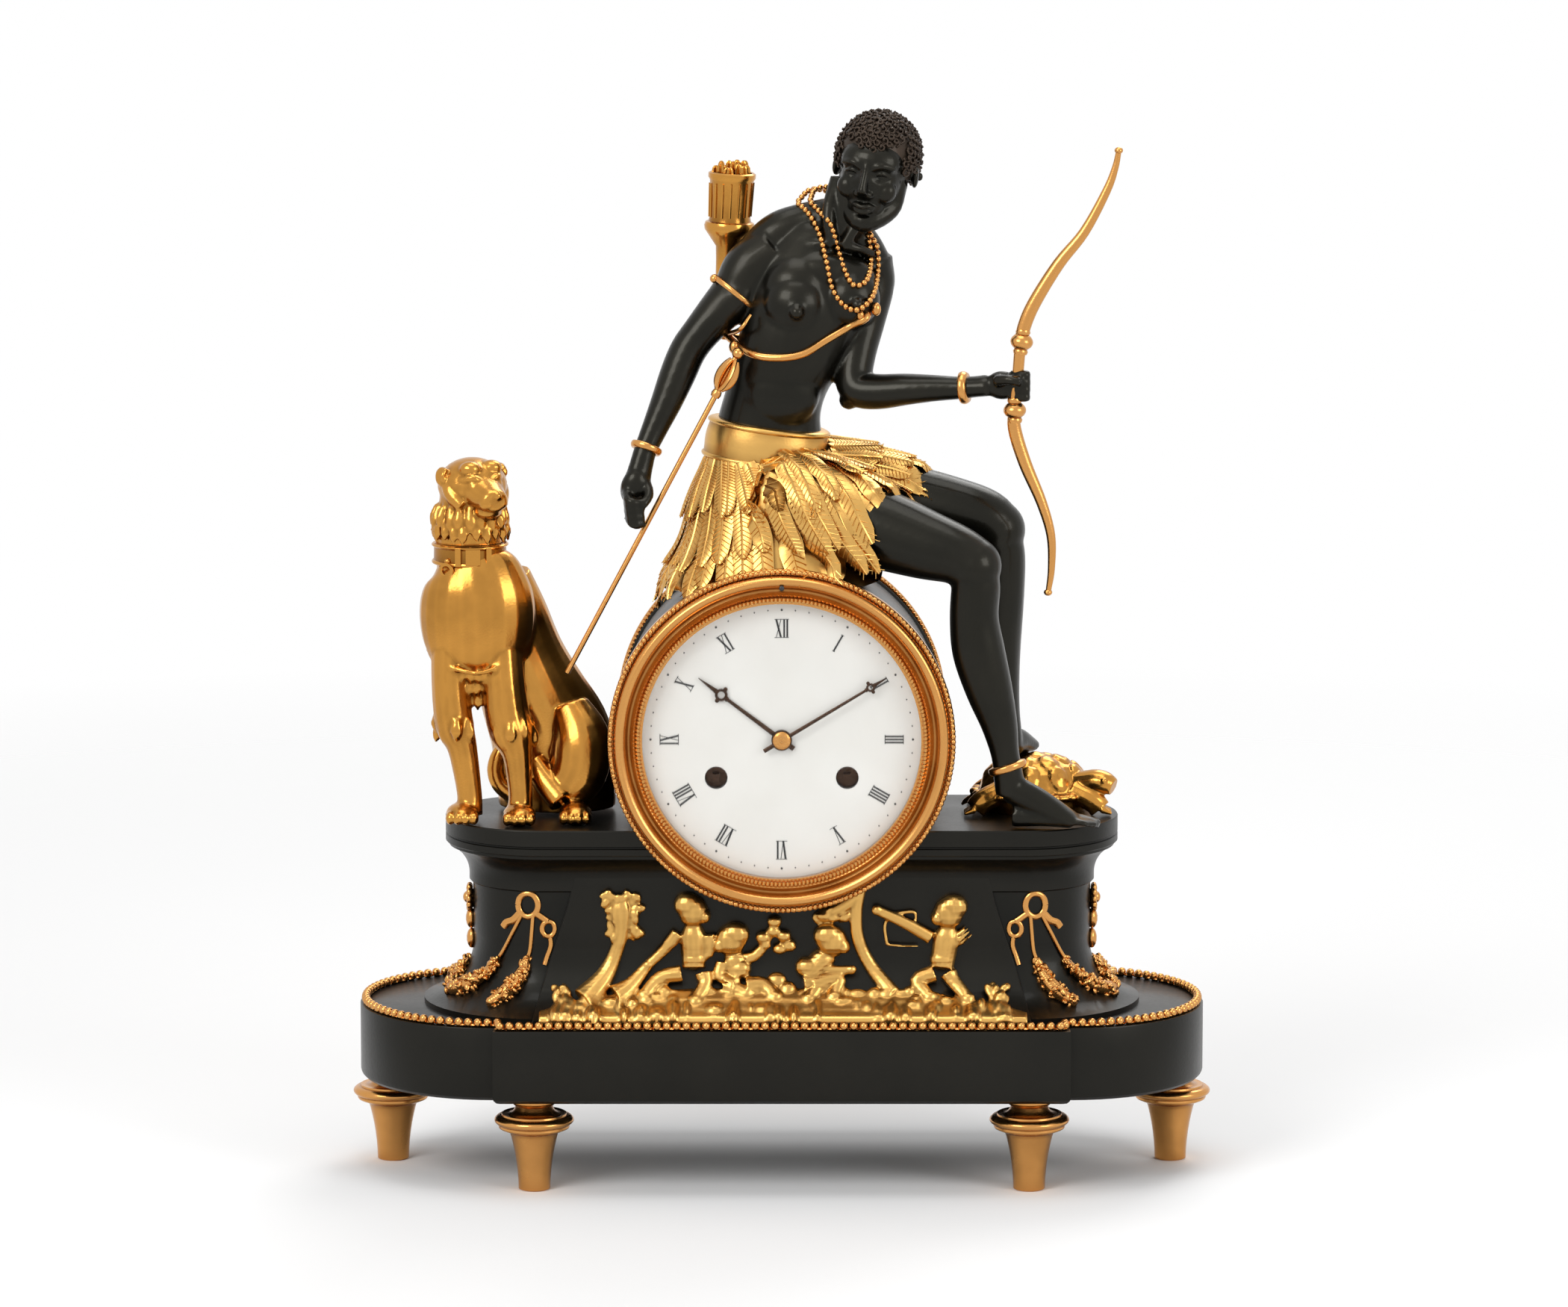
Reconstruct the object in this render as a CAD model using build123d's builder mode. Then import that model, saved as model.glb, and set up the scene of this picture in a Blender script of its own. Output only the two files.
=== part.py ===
from build123d import *
from math import atan2, cos, degrees, pi, sin, sqrt
import os

os.makedirs("parts", exist_ok=True)

# A mantel clock about 375 wide: a drum movement on a waisted base, with a seated
# huntress on the drum, a seated lioness on the left and a tortoise on the right.
# Millimetres. X to the right, Y to the back, Z up. The origin is on the table, under
# the middle of the plinth.

# General fits
run_clearance = 0.05
seat_gap = 0.3
overrun = 20.0

# Feet
foot_height = 42.0
foot_tip_radius = 7.0
foot_top_cone_radius = 10.4
foot_flange_radius = 17.5
foot_collar_radius = 15.2
foot_neck_radius = 9.5
foot_stud_radius = 3.0
foot_stud_length = 18.0
front_foot_x = 109.0
front_foot_y = -48.0
end_foot_x = 174.0
end_foot_y = 12.0

# Plinth
plinth_width = 375.0
plinth_end_radius = 61.0
plinth_height = 33.0
plinth_wall = 4.0
plinth_top_wall = 4.0
break_projection = 7.5
plinth_edge_round = 3.0
plinth_boss_radius = 8.5
bead_diameter = 4.0
bead_inset = 0.4

# Pedestal: concave waist, moulding and platform in one casting
pedestal_centre_x = 105.0
waist_top_radius = 32.0
waist_foot_radius = 54.0
waist_foot_height = 2.4
waist_curve_height = 31.0
waist_height = 59.0
pedestal_wall = 3.6
cove_height = 14.0
platform_radius = 44.0
fascia_height = 11.5
fascia_reveal = 1.6
panel_projection = 2.0
panel_top_half_width = 91.0
panel_foot_half_width = 110.0
slot_half_width = 16.0
slot_depth = 14.0

# Drum and dial
dial_height = 200.0
drum_radius = 71.0
drum_wall = 2.5
drum_overhang = 0.4
drum_flange = 4.5
drum_flange_thickness = 2.0
bezel_lip = 5.0
bezel_cover = 10.0
bezel_depth = 8.0
glass_thickness = 1.5
glass_setback = 2.2
dial_margin = 1.4
dial_thickness = 1.8
dial_setback = 1.6
dial_mount_thickness = 1.6
dial_mount_bore = 24.0
dial_foot_radius = 2.5
dial_foot_circle = 42.0
door_lip = 2.5
door_depth = 3.4
door_panel_thickness = 1.2
door_rim_width = 9.0
hinge_radius = 1.7
hinge_pin_radius = 0.8
hinge_length = 15.0
door_knob_radius = 3.2
door_knob_length = 5.0

# Movement
plate_radius = 47.0
plate_thickness = 2.2
plate_gap = 38.0
motion_space = 4.8
pillar_radius = 2.6
arbor_radius = 1.0
winding_x = 28.7
winding_drop = 17.0
winding_hole_radius = 5.0
winding_arbor_radius = 2.2
winding_square = 3.0
barrel_radius = 18.6
barrel_tooth_radius = 21.0
barrel_length = 15.0
wheel_thickness = 1.3
tooth_depth = 1.1
mesh_clearance = 0.2
pinion_radius = 2.6
fine_pinion_radius = 1.7
second_wheel_radius = 18.1
centre_wheel_radius = 13.8
third_wheel_radius = 8.9
escape_wheel_radius = 8.8
pin_wheel_radius = 7.4
cannon_radius = 2.9
minute_wheel_radius = 8.6
hour_wheel_radius = 9.1
minute_pinion_radius = 2.3
minute_pipe_radius = 2.0
hour_pipe_radius = 3.2
anchor_height = 36.0
pendulum_drop = 140.0
pendulum_y_gap = 6.0
pendulum_rod_radius = 0.9
bob_radius = 12.5
bob_thickness = 6.0
crutch_length = 30.0
bell_radius = 29.0
bell_depth = 17.0
bell_wall = 1.6
bell_gap = 13.0
bell_rise = 8.0
hammer_head_radius = 3.6
count_wheel_radius = 17.0
tie_rod_radius = 3.0
tie_rod_x = -18.0
tie_rod_y = -16.0
tie_rod_drop = 9.0
tie_nut_radius = 7.5

# Hands
hour_hand_length = 46.0
minute_hand_length = 54.0
hand_thickness = 0.8
hand_gap = 1.1
hand_hub_radius = 4.6
hour_hand_angle = 53.0
minute_hand_angle = -58.8
collet_radius = 4.0

# Figures
head_height = 54.0
lioness_height = 159.0
lioness_x = -118.0
tortoise_length = 68.0
tortoise_x = 112.0
tortoise_y = 6.0
limb_sides = 10

# Sizes that follow
bezel_outer_radius = drum_radius + bezel_lip
bezel_inner_radius = drum_radius - bezel_cover
dial_radius = bezel_inner_radius + dial_margin
door_radius = drum_radius + door_lip
plinth_straight = plinth_width - 2 * plinth_end_radius
plinth_top = foot_height + plinth_height
waist_top = plinth_top + waist_height
fascia_bottom = waist_top + cove_height
platform_top = fascia_bottom + fascia_height
drum_front = -(platform_radius + drum_overhang)
drum_back = platform_radius + drum_overhang
drum_top = dial_height + drum_radius
dial_front = drum_front + dial_setback
dial_back = dial_front + dial_thickness
mount_back = dial_back + dial_mount_thickness
front_plate_front = dial_back + motion_space
front_plate_back = front_plate_front + plate_thickness
back_plate_front = front_plate_back + plate_gap
back_plate_back = back_plate_front + plate_thickness
winding_z = dial_height - winding_drop
pendulum_y = back_plate_back + pendulum_y_gap
anchor_z = dial_height + anchor_height


def save(part, label):
    part.label = label
    export_step(part, f"parts/{label}.step")


def turning_plane(x, z):
    """Local x is a radius along X and local y is Y, for pieces turned about an axis along Y."""
    return Plane(origin=(x, 0, z), x_dir=(1, 0, 0), z_dir=(0, 0, 1))


def y_axis(x, z):
    return Axis((x, 0, z), (0, 1, 0))


def upright_plane(x, y):
    """Local x is a radius along X and local y is Z, for pieces turned about a vertical axis."""
    return Plane(origin=(x, y, 0), x_dir=(1, 0, 0), z_dir=(0, -1, 0))


def z_axis(x, y):
    return Axis((x, y, 0), (0, 0, 1))


def facing_plane(y, x=0, z=0):
    """Faces the viewer at depth y. Extruding goes towards the viewer."""
    return Plane(origin=(x, y, z), x_dir=(1, 0, 0), z_dir=(0, -1, 0))


def joined(*forms, less=()):
    """One casting from several forms, cut back by its neighbours."""
    with BuildPart() as casting:
        for form in forms:
            add(form)
        for neighbour in less:
            add(neighbour, mode=Mode.SUBTRACT)
    return casting.part


# Feet

foot_places = (
    (-front_foot_x, front_foot_y),
    (front_foot_x, front_foot_y),
    (-end_foot_x, end_foot_y),
    (end_foot_x, end_foot_y),
)
cone_top_share = 0.62
flange_low_share = 0.68
flange_high_share = 0.78
collar_share = 0.82
neck_share = 0.90
with BuildPart() as feet:
    for foot_x, foot_y in foot_places:
        with BuildSketch(upright_plane(foot_x, foot_y)):
            with BuildLine():
                Polyline(
                    (0, 0),
                    (foot_tip_radius, 0),
                    (foot_top_cone_radius, foot_height * cone_top_share),
                    (foot_flange_radius, foot_height * flange_low_share),
                    (foot_flange_radius, foot_height * flange_high_share),
                    (foot_collar_radius, foot_height * collar_share),
                    (foot_neck_radius, foot_height * neck_share),
                    (foot_neck_radius, foot_height),
                    (foot_stud_radius, foot_height),
                    (foot_stud_radius, foot_height + foot_stud_length),
                    (0, foot_height + foot_stud_length),
                    close=True,
                )
            make_face()
        revolve(axis=z_axis(foot_x, foot_y))
save(feet.part, "feet")


# Plinth and its beaded rail


def plinth_outline(inset, mode=Mode.ADD):
    SlotOverall(plinth_width - 2 * inset, 2 * (plinth_end_radius - inset), mode=mode)
    Rectangle(
        plinth_straight - 2 * inset,
        2 * (plinth_end_radius + break_projection - inset),
        mode=mode,
    )


with BuildPart() as plinth:
    with BuildSketch(Plane.XY.offset(foot_height)):
        plinth_outline(0)
    extrude(amount=plinth_height)
    fillet(plinth.edges().group_by(Axis.Z)[0], plinth_edge_round)
    with BuildSketch(Plane.XY.offset(foot_height)):
        plinth_outline(plinth_wall)
    extrude(amount=plinth_height - plinth_top_wall, mode=Mode.SUBTRACT)
    with BuildSketch(Plane.XY.offset(foot_height)):
        with Locations(*foot_places):
            Circle(plinth_boss_radius)
        with Locations((tie_rod_x, tie_rod_y)):
            Circle(plinth_boss_radius)
    extrude(amount=plinth_height - plinth_top_wall)
    with BuildSketch(Plane.XY.offset(foot_height)):
        with Locations(*foot_places):
            Circle(foot_stud_radius + run_clearance)
    extrude(amount=foot_stud_length + seat_gap, mode=Mode.SUBTRACT)
    with BuildSketch(Plane.XY.offset(foot_height)):
        with Locations((tie_rod_x, tie_rod_y)):
            Circle(tie_rod_radius + run_clearance)
        with Locations((0, pendulum_y)):
            Rectangle(2 * (slot_half_width + bob_radius), bob_thickness + slot_depth)
    extrude(amount=plinth_height, mode=Mode.SUBTRACT)
save(plinth.part, "plinth")

with BuildPart() as bead_rail:
    with BuildSketch(Plane.XY.offset(plinth_top)):
        plinth_outline(bead_inset)
        plinth_outline(bead_inset + bead_diameter, Mode.SUBTRACT)
    extrude(amount=bead_diameter)
save(bead_rail.part, "bead_rail")


# Pedestal


def flare_line(radius_offset):
    """Half profile of the waist, from its foot to its top, grown by an offset."""
    foot_r = waist_foot_radius + radius_offset
    top_r = waist_top_radius + radius_offset
    curve_bottom = plinth_top + waist_foot_height
    curve_top = curve_bottom + waist_curve_height
    mid_radius_share = 0.27
    mid_height_share = 0.30
    foot_point = (foot_r, plinth_top)
    low_point = (foot_r, curve_bottom)
    mid_point = (
        top_r + (foot_r - top_r) * mid_radius_share,
        curve_bottom + waist_curve_height * mid_height_share,
    )
    high_point = (top_r, curve_top)
    Polyline((0, plinth_top), foot_point, low_point)
    ThreePointArc(low_point, mid_point, high_point)
    Polyline(high_point, (top_r, waist_top), (0, waist_top), (0, plinth_top))


def moulding_line():
    """Cove, step and fascia above the waist."""
    reveal_r = platform_radius - fascia_reveal
    cove_mid_share = 0.35
    cove_start = (waist_top_radius + fascia_reveal, waist_top)
    cove_end = (reveal_r, fascia_bottom - fascia_reveal)
    cove_mid = (
        cove_start[0] + (cove_end[0] - cove_start[0]) * cove_mid_share,
        cove_start[1] + (cove_end[1] - cove_start[1]) * (1 - cove_mid_share),
    )
    Polyline((0, waist_top), cove_start)
    ThreePointArc(cove_start, cove_mid, cove_end)
    Polyline(
        cove_end,
        (reveal_r, fascia_bottom),
        (platform_radius, fascia_bottom),
        (platform_radius, platform_top),
        (0, platform_top),
        (0, waist_top),
    )


def obround_solid(draw):
    """Runs a half profile round the obround: the straight middle, then the two turned ends."""
    with BuildPart() as solid:
        with BuildSketch(Plane.YZ):
            with BuildLine():
                draw()
            make_face()
            mirror(about=Plane.YZ)
        extrude(amount=pedestal_centre_x, both=True)
        for side in (-1, 1):
            with BuildSketch(upright_plane(side * pedestal_centre_x, 0)):
                with BuildLine():
                    draw()
                make_face()
            revolve(axis=z_axis(side * pedestal_centre_x, 0))
    return solid.part


def panel_frame():
    """The raised middle panel seen from the front: wider at its foot."""
    with BuildSketch(facing_plane(0), mode=Mode.PRIVATE) as frame:
        with BuildLine():
            Polyline(
                (-panel_foot_half_width, plinth_top),
                (panel_foot_half_width, plinth_top),
                (panel_top_half_width, waist_top),
                (-panel_top_half_width, waist_top),
                close=True,
            )
        make_face()
    return frame.sketch


with BuildPart() as panel:
    with BuildSketch(Plane.YZ):
        with BuildLine():
            flare_line(panel_projection)
        make_face()
        mirror(about=Plane.YZ)
    extrude(amount=panel_foot_half_width, both=True)
    extrude(panel_frame(), amount=plinth_width, both=True, mode=Mode.INTERSECT)

with BuildPart() as pedestal:
    add(obround_solid(lambda: flare_line(0)))
    add(panel.part)
    add(obround_solid(moulding_line))
    hollow_top = waist_top - pedestal_wall - drum_wall
    with BuildSketch(Plane.XY.offset(plinth_top)):
        SlotOverall(
            2 * (pedestal_centre_x + waist_top_radius - pedestal_wall),
            2 * (waist_top_radius - pedestal_wall),
        )
    extrude(amount=hollow_top - plinth_top, mode=Mode.SUBTRACT)
    with BuildSketch(facing_plane(plinth_width, 0, dial_height)):
        Circle(drum_radius + run_clearance)
    extrude(amount=2 * plinth_width, mode=Mode.SUBTRACT)
    with BuildSketch(Plane.XY.offset(plinth_top)):
        with Locations((0, pendulum_y)):
            Rectangle(2 * slot_half_width, slot_depth)
        with Locations((tie_rod_x, tie_rod_y)):
            Circle(tie_rod_radius + run_clearance)
    extrude(amount=platform_top - plinth_top, mode=Mode.SUBTRACT)
save(pedestal.part, "pedestal")

# Tie rod that draws the pedestal down on the plinth, with a domed nut below
tie_rod_edge_x = abs(tie_rod_x) - tie_rod_radius
tie_rod_top = dial_height - sqrt((drum_radius + run_clearance) ** 2 - tie_rod_edge_x**2)
with BuildPart() as tie_rod:
    with BuildSketch(Plane.XY.offset(foot_height - tie_rod_drop)):
        with Locations((tie_rod_x, tie_rod_y)):
            Circle(tie_rod_radius)
    extrude(amount=tie_rod_top - seat_gap - foot_height + tie_rod_drop)
save(tie_rod.part, "tie_rod")

with BuildPart() as tie_nut:
    nut_rim_share = 0.35
    nut_crown_share = 0.45
    with BuildSketch(upright_plane(tie_rod_x, tie_rod_y)):
        with BuildLine():
            Polyline(
                (tie_rod_radius + run_clearance, foot_height),
                (tie_nut_radius, foot_height),
                (tie_nut_radius, foot_height - tie_rod_drop * nut_rim_share),
                (tie_nut_radius * nut_crown_share + tie_rod_radius, foot_height - tie_rod_drop),
                (tie_rod_radius + run_clearance, foot_height - tie_rod_drop),
                close=True,
            )
        make_face()
    revolve(axis=z_axis(tie_rod_x, tie_rod_y))
save(tie_nut.part, "tie_nut")

# Frieze of playing children: flat shapes, cut to the curve of the panel's face
relief_depth = 3.4
frieze_height = 52.0
frieze_head_sides = 12


def stroke(start, end, start_half, end_half):
    """A tapering limb or stem in the flat drawing, in shares of the frieze's height."""
    run, rise = end[0] - start[0], end[1] - start[1]
    length = sqrt(run**2 + rise**2)
    side_x, side_z = -rise / length, run / length
    corners = [
        (point[0] + half * side_x, point[1] + half * side_z)
        for point, half in ((start, start_half), (start, -start_half), (end, -end_half), (end, end_half))
    ]
    Polygon(*((frieze_height * across, frieze_height * up) for across, up in corners), align=None)


def knob(x_share, z_share, radius_share):
    """A head or a clump of leaves."""
    with Locations((frieze_height * x_share, frieze_height * z_share)):
        RegularPolygon(frieze_height * radius_share, frieze_head_sides)


knob_shares = (
    (-1.33, 0.76, 0.19),
    (-1.45, 0.86, 0.10),
    (-1.21, 0.90, 0.10),
    (-1.24, 0.56, 0.10),
    (-0.75, 0.85, 0.14),
    (-0.44, 0.56, 0.125),
    (-0.03, 0.60, 0.06),
    (0.42, 0.57, 0.135),
    (0.56, 0.88, 0.09),
    (1.42, 0.86, 0.14),
    (1.83, 0.19, 0.09),
)
stroke_shares = (
    ((-1.98, 0.06), (2.12, 0.06), 0.055, 0.055),
    ((-1.24, 0.08), (-1.31, 0.70), 0.07, 0.04),
    ((-0.74, 0.78), (-0.66, 0.26), 0.11, 0.15),
    ((-0.82, 0.68), (-1.20, 0.20), 0.05, 0.04),
    ((-0.62, 0.28), (-1.02, 0.10), 0.09, 0.06),
    ((-0.66, 0.24), (-0.32, 0.12), 0.09, 0.06),
    ((-0.43, 0.50), (-0.36, 0.08), 0.10, 0.15),
    ((-0.34, 0.42), (-0.04, 0.58), 0.045, 0.035),
    ((0.38, 0.50), (0.22, 0.08), 0.12, 0.17),
    ((0.40, 0.40), (0.66, 0.16), 0.05, 0.04),
    ((0.90, 0.06), (0.72, 0.55), 0.08, 0.05),
    ((0.72, 0.50), (0.62, 0.92), 0.05, 0.05),
    ((1.40, 0.78), (1.33, 0.36), 0.11, 0.12),
    ((1.32, 0.66), (0.96, 0.80), 0.05, 0.03),
    ((1.46, 0.70), (1.62, 0.58), 0.05, 0.04),
    ((1.62, 0.60), (1.44, 0.52), 0.04, 0.04),
    ((1.30, 0.42), (1.10, 0.08), 0.09, 0.05),
    ((1.36, 0.42), (1.64, 0.08), 0.09, 0.05),
    ((0.92, 0.90), (1.02, 0.52), 0.022, 0.022),
    ((1.02, 0.54), (1.30, 0.62), 0.018, 0.018),
    ((1.83, 0.08), (1.83, 0.20), 0.03, 0.03),
)
frieze_z = plinth_top + waist_foot_height
with BuildPart() as frieze:
    with BuildSketch(facing_plane(0, 0, frieze_z)):
        for place_shares in knob_shares:
            knob(*place_shares)
        for line_shares in stroke_shares:
            stroke(*line_shares)
    extrude(amount=plinth_end_radius + break_projection)
    with BuildSketch(Plane.YZ) as relief_skin:
        with BuildLine():
            flare_line(panel_projection + relief_depth)
        make_face()
        with BuildLine():
            flare_line(panel_projection)
        make_face(mode=Mode.SUBTRACT)
        mirror(about=Plane.YZ)
    extrude(amount=plinth_width, both=True, mode=Mode.INTERSECT)
save(frieze.part, "frieze")


# Garlands on the rounded ends: a ring, a swag of flowers to the end and back, and drops

blossom_depth = 4.0
blossom_sides = 7
mount_height_share = 0.86
swag_sag_share = 0.70
mount_angle = 80.0
swag_blossoms = 7
drop_blossoms = 4


def flare_radius(height_share):
    """Radius of the turned end at a share of the waist's height, near enough to seat a mount."""
    curve_share = (waist_foot_height + waist_curve_height) / waist_height
    fall = max(0, 1 - height_share / curve_share)
    return waist_top_radius + (waist_foot_radius - waist_top_radius) * fall**2.4


def blossom(side, turn_angle, height_share, radius):
    """One flower head on the end, at an angle from the clock's long axis."""
    reach = flare_radius(height_share) + blossom_depth / 3
    turn = turn_angle * pi / 180
    out = Vector(side * cos(turn), -sin(turn), 0)
    centre = Vector(side * pedestal_centre_x, 0, plinth_top + waist_height * height_share) + out * reach
    with BuildSketch(Plane(origin=centre - out * blossom_depth / 2, z_dir=out)) as flower:
        RegularPolygon(radius, blossom_sides)
    extrude(flower.sketch, amount=blossom_depth)


ring_size = 5.6
small_flower = 3.2
large_flower = 5.4
drop_turn = 8.0
drop_length_share = 0.62
with BuildPart() as garlands:
    for side in (-1, 1):
        blossom(side, 0, mount_height_share, ring_size)
        for face in (1, -1):
            blossom(side, face * mount_angle, mount_height_share, ring_size)
            for step in range(1, swag_blossoms + 1):
                along = step / (swag_blossoms + 1)
                sag = sin(pi * along)
                blossom(side, face * mount_angle * (1 - along),
                        mount_height_share - swag_sag_share * sag,
                        small_flower + (large_flower - small_flower) * sag)
            for step in range(1, drop_blossoms + 1):
                along = step / drop_blossoms
                blossom(side, face * (mount_angle - drop_turn * along),
                        mount_height_share - drop_length_share * along,
                        small_flower + (large_flower - small_flower) * along)
    add(pedestal.part, mode=Mode.SUBTRACT)
save(garlands.part, "garlands")


# Round pieces of the drum and the movement


def cylinder(x, z, radius, back, length, bore=0):
    """A round bar or disc along Y: its back face at depth back, reaching length to the front."""
    with BuildPart() as bar:
        with BuildSketch(facing_plane(back, x, z)):
            Circle(radius)
            if bore:
                Circle(bore, mode=Mode.SUBTRACT)
        extrude(amount=length)
    return bar.part


def toothed_disc(x, z, tip_radius, teeth, back, thickness, bore=0):
    """A wheel with pointed teeth round its rim and, when it is large, four crossings."""
    root_radius = tip_radius - tooth_depth
    crossing_share = 0.56
    crossing_width_share = 0.30
    points = []
    for tooth in range(teeth):
        tip_angle = 2 * pi * tooth / teeth
        root_angle = 2 * pi * (tooth + 1 / 2) / teeth
        points.append((tip_radius * cos(tip_angle), tip_radius * sin(tip_angle)))
        points.append((root_radius * cos(root_angle), root_radius * sin(root_angle)))
    with BuildPart() as wheel:
        with BuildSketch(facing_plane(back, x, z)):
            with BuildLine():
                Polyline(*points, close=True)
            make_face()
            if bore:
                Circle(bore, mode=Mode.SUBTRACT)
            if tip_radius > 4 * pinion_radius and thickness == wheel_thickness:
                with PolarLocations(tip_radius * crossing_share, 4):
                    Circle(tip_radius * crossing_width_share, mode=Mode.SUBTRACT)
        extrude(amount=thickness)
    return wheel.part


def hinge_knuckles(x, y, z_places, length):
    """Short bars along Z, bored later, for a hinge beside the drum."""
    with BuildPart() as knuckles:
        for z in z_places:
            with BuildSketch(Plane.XY.offset(z - length / 2)):
                with Locations((x, y)):
                    Circle(hinge_radius)
            extrude(amount=length)
    return knuckles.part


def knuckle_arm(x_from, x_to, y, z_places, length, thickness):
    """Leaves that join the knuckles of a hinge to the drum or to a ring."""
    with BuildPart() as arm:
        for z in z_places:
            with BuildSketch(Plane.XY.offset(z - length / 2)):
                with Locations(((x_from + x_to) / 2, y)):
                    Rectangle(abs(x_to - x_from), thickness)
            extrude(amount=length)
    return arm.part


# Drum case with a flange at the back and the fixed knuckles of both hinges
knuckle_length = hinge_length / 3
outer_knuckles = (dial_height - knuckle_length, dial_height + knuckle_length)
bezel_hinge_x = -(drum_radius + hinge_radius + seat_gap)
bezel_hinge_y = drum_front + hinge_radius
door_hinge_x = drum_radius + hinge_radius + seat_gap
door_hinge_y = drum_back - hinge_radius
leaf_thickness = hinge_radius

with BuildPart() as drum_case:
    with BuildSketch(turning_plane(0, dial_height)):
        with BuildLine():
            Polyline(
                (drum_radius - drum_wall, drum_front),
                (drum_radius, drum_front),
                (drum_radius, drum_back),
                (drum_radius - drum_wall - drum_flange, drum_back),
                (drum_radius - drum_wall - drum_flange, drum_back - drum_flange_thickness),
                (drum_radius - drum_wall, drum_back - drum_flange_thickness),
                close=True,
            )
        make_face()
    revolve(axis=y_axis(0, dial_height))
    for side, knuckle_x, knuckle_y in ((-1, bezel_hinge_x, bezel_hinge_y), (1, door_hinge_x, door_hinge_y)):
        add(knuckle_arm(side * (drum_radius - drum_wall / 2), knuckle_x, knuckle_y, outer_knuckles,
                        knuckle_length, leaf_thickness))
        add(hinge_knuckles(knuckle_x, knuckle_y, outer_knuckles, knuckle_length))
    with BuildSketch(Plane.XY.offset(dial_height - hinge_length)):
        with Locations((bezel_hinge_x, bezel_hinge_y), (door_hinge_x, door_hinge_y)):
            Circle(hinge_pin_radius + run_clearance)
    extrude(amount=2 * hinge_length, mode=Mode.SUBTRACT)
    with BuildSketch(Plane.XY.offset(dial_height - drum_radius - overrun)):
        with Locations((0, pendulum_y)):
            Rectangle(2 * slot_half_width, slot_depth)
    extrude(amount=drum_radius, mode=Mode.SUBTRACT)
save(drum_case.part, "drum_case")

with BuildPart() as hinge_pins:
    with BuildSketch(Plane.XY.offset(dial_height - hinge_length / 2)):
        with Locations((bezel_hinge_x, bezel_hinge_y), (door_hinge_x, door_hinge_y)):
            Circle(hinge_pin_radius)
    extrude(amount=hinge_length)
save(hinge_pins.part, "hinge_pins")

# Bezel: beaded inner edge, hollow moulding, rounded band and beaded outer edge
bezel_front = drum_front - bezel_depth
bezel_width = bezel_outer_radius - bezel_inner_radius
glass_radius = bezel_inner_radius + bezel_width / 8
glass_front = bezel_front + glass_setback
glass_back = glass_front + glass_thickness
bezel_profile_shares = (
    (0.00, 0.78),
    (0.13, 0.80),
    (0.26, 0.60),
    (0.36, 0.48),
    (0.50, 0.62),
    (0.56, 0.90),
    (0.68, 1.00),
    (0.80, 0.88),
    (0.86, 0.62),
    (1.00, 0.50),
    (1.00, 0.00),
)
with BuildPart() as front_bezel:
    with BuildSketch(turning_plane(0, dial_height)):
        with BuildLine():
            Polyline(
                (bezel_inner_radius, drum_front),
                *(
                    (bezel_inner_radius + bezel_width * out_share, drum_front - bezel_depth * front_share)
                    for out_share, front_share in bezel_profile_shares
                ),
                close=True,
            )
        make_face()
    revolve(axis=y_axis(0, dial_height))
    add(cylinder(0, dial_height, glass_radius, drum_front, drum_front - glass_front), mode=Mode.SUBTRACT)
    add(knuckle_arm(bezel_hinge_x - hinge_radius, bezel_hinge_x + hinge_radius,
                    (bezel_hinge_y + drum_front - leaf_thickness) / 2, (dial_height,),
                    knuckle_length - seat_gap, bezel_hinge_y - drum_front + leaf_thickness))
    add(hinge_knuckles(bezel_hinge_x, bezel_hinge_y, (dial_height,), knuckle_length - seat_gap))
    with BuildSketch(Plane.XY.offset(dial_height - hinge_length)):
        with Locations((bezel_hinge_x, bezel_hinge_y)):
            Circle(hinge_pin_radius + run_clearance)
    extrude(amount=2 * hinge_length, mode=Mode.SUBTRACT)
save(front_bezel.part, "front_bezel")
save(cylinder(0, dial_height, glass_radius - run_clearance, glass_back, glass_thickness), "dial_glass")

# Back door: a rimmed disc with sound holes for the bell, a knob and its knuckle
with BuildPart() as back_door:
    sound_holes = 8
    sound_circle_share = 0.62
    sound_hole_share = 0.13
    with BuildSketch(facing_plane(drum_back + door_depth, 0, dial_height)):
        Circle(door_radius)
    extrude(amount=door_depth)
    with BuildSketch(facing_plane(drum_back + door_depth, 0, dial_height)):
        Circle(door_radius - door_rim_width)
    extrude(amount=door_depth - door_panel_thickness, mode=Mode.SUBTRACT)
    with BuildSketch(facing_plane(drum_back + door_depth, 0, dial_height)):
        with PolarLocations(door_radius * sound_circle_share, sound_holes):
            RegularPolygon(door_radius * sound_hole_share, sound_holes)
    extrude(amount=door_depth, mode=Mode.SUBTRACT)
    add(hinge_knuckles(door_hinge_x, door_hinge_y, (dial_height,), knuckle_length - seat_gap))
    add(knuckle_arm(door_hinge_x - hinge_radius, door_hinge_x + hinge_radius,
                    (door_hinge_y + drum_back + leaf_thickness) / 2, (dial_height,),
                    knuckle_length - seat_gap, drum_back + leaf_thickness - door_hinge_y))
    with BuildSketch(Plane.XY.offset(dial_height - hinge_length)):
        with Locations((door_hinge_x, door_hinge_y)):
            Circle(hinge_pin_radius + run_clearance)
    extrude(amount=2 * hinge_length, mode=Mode.SUBTRACT)
    knob_x = -(door_radius - door_rim_width / 2)
    add(cylinder(knob_x, dial_height, door_knob_radius, drum_back + door_depth + door_knob_length,
                 door_knob_length))
save(back_door.part, "back_door")

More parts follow.
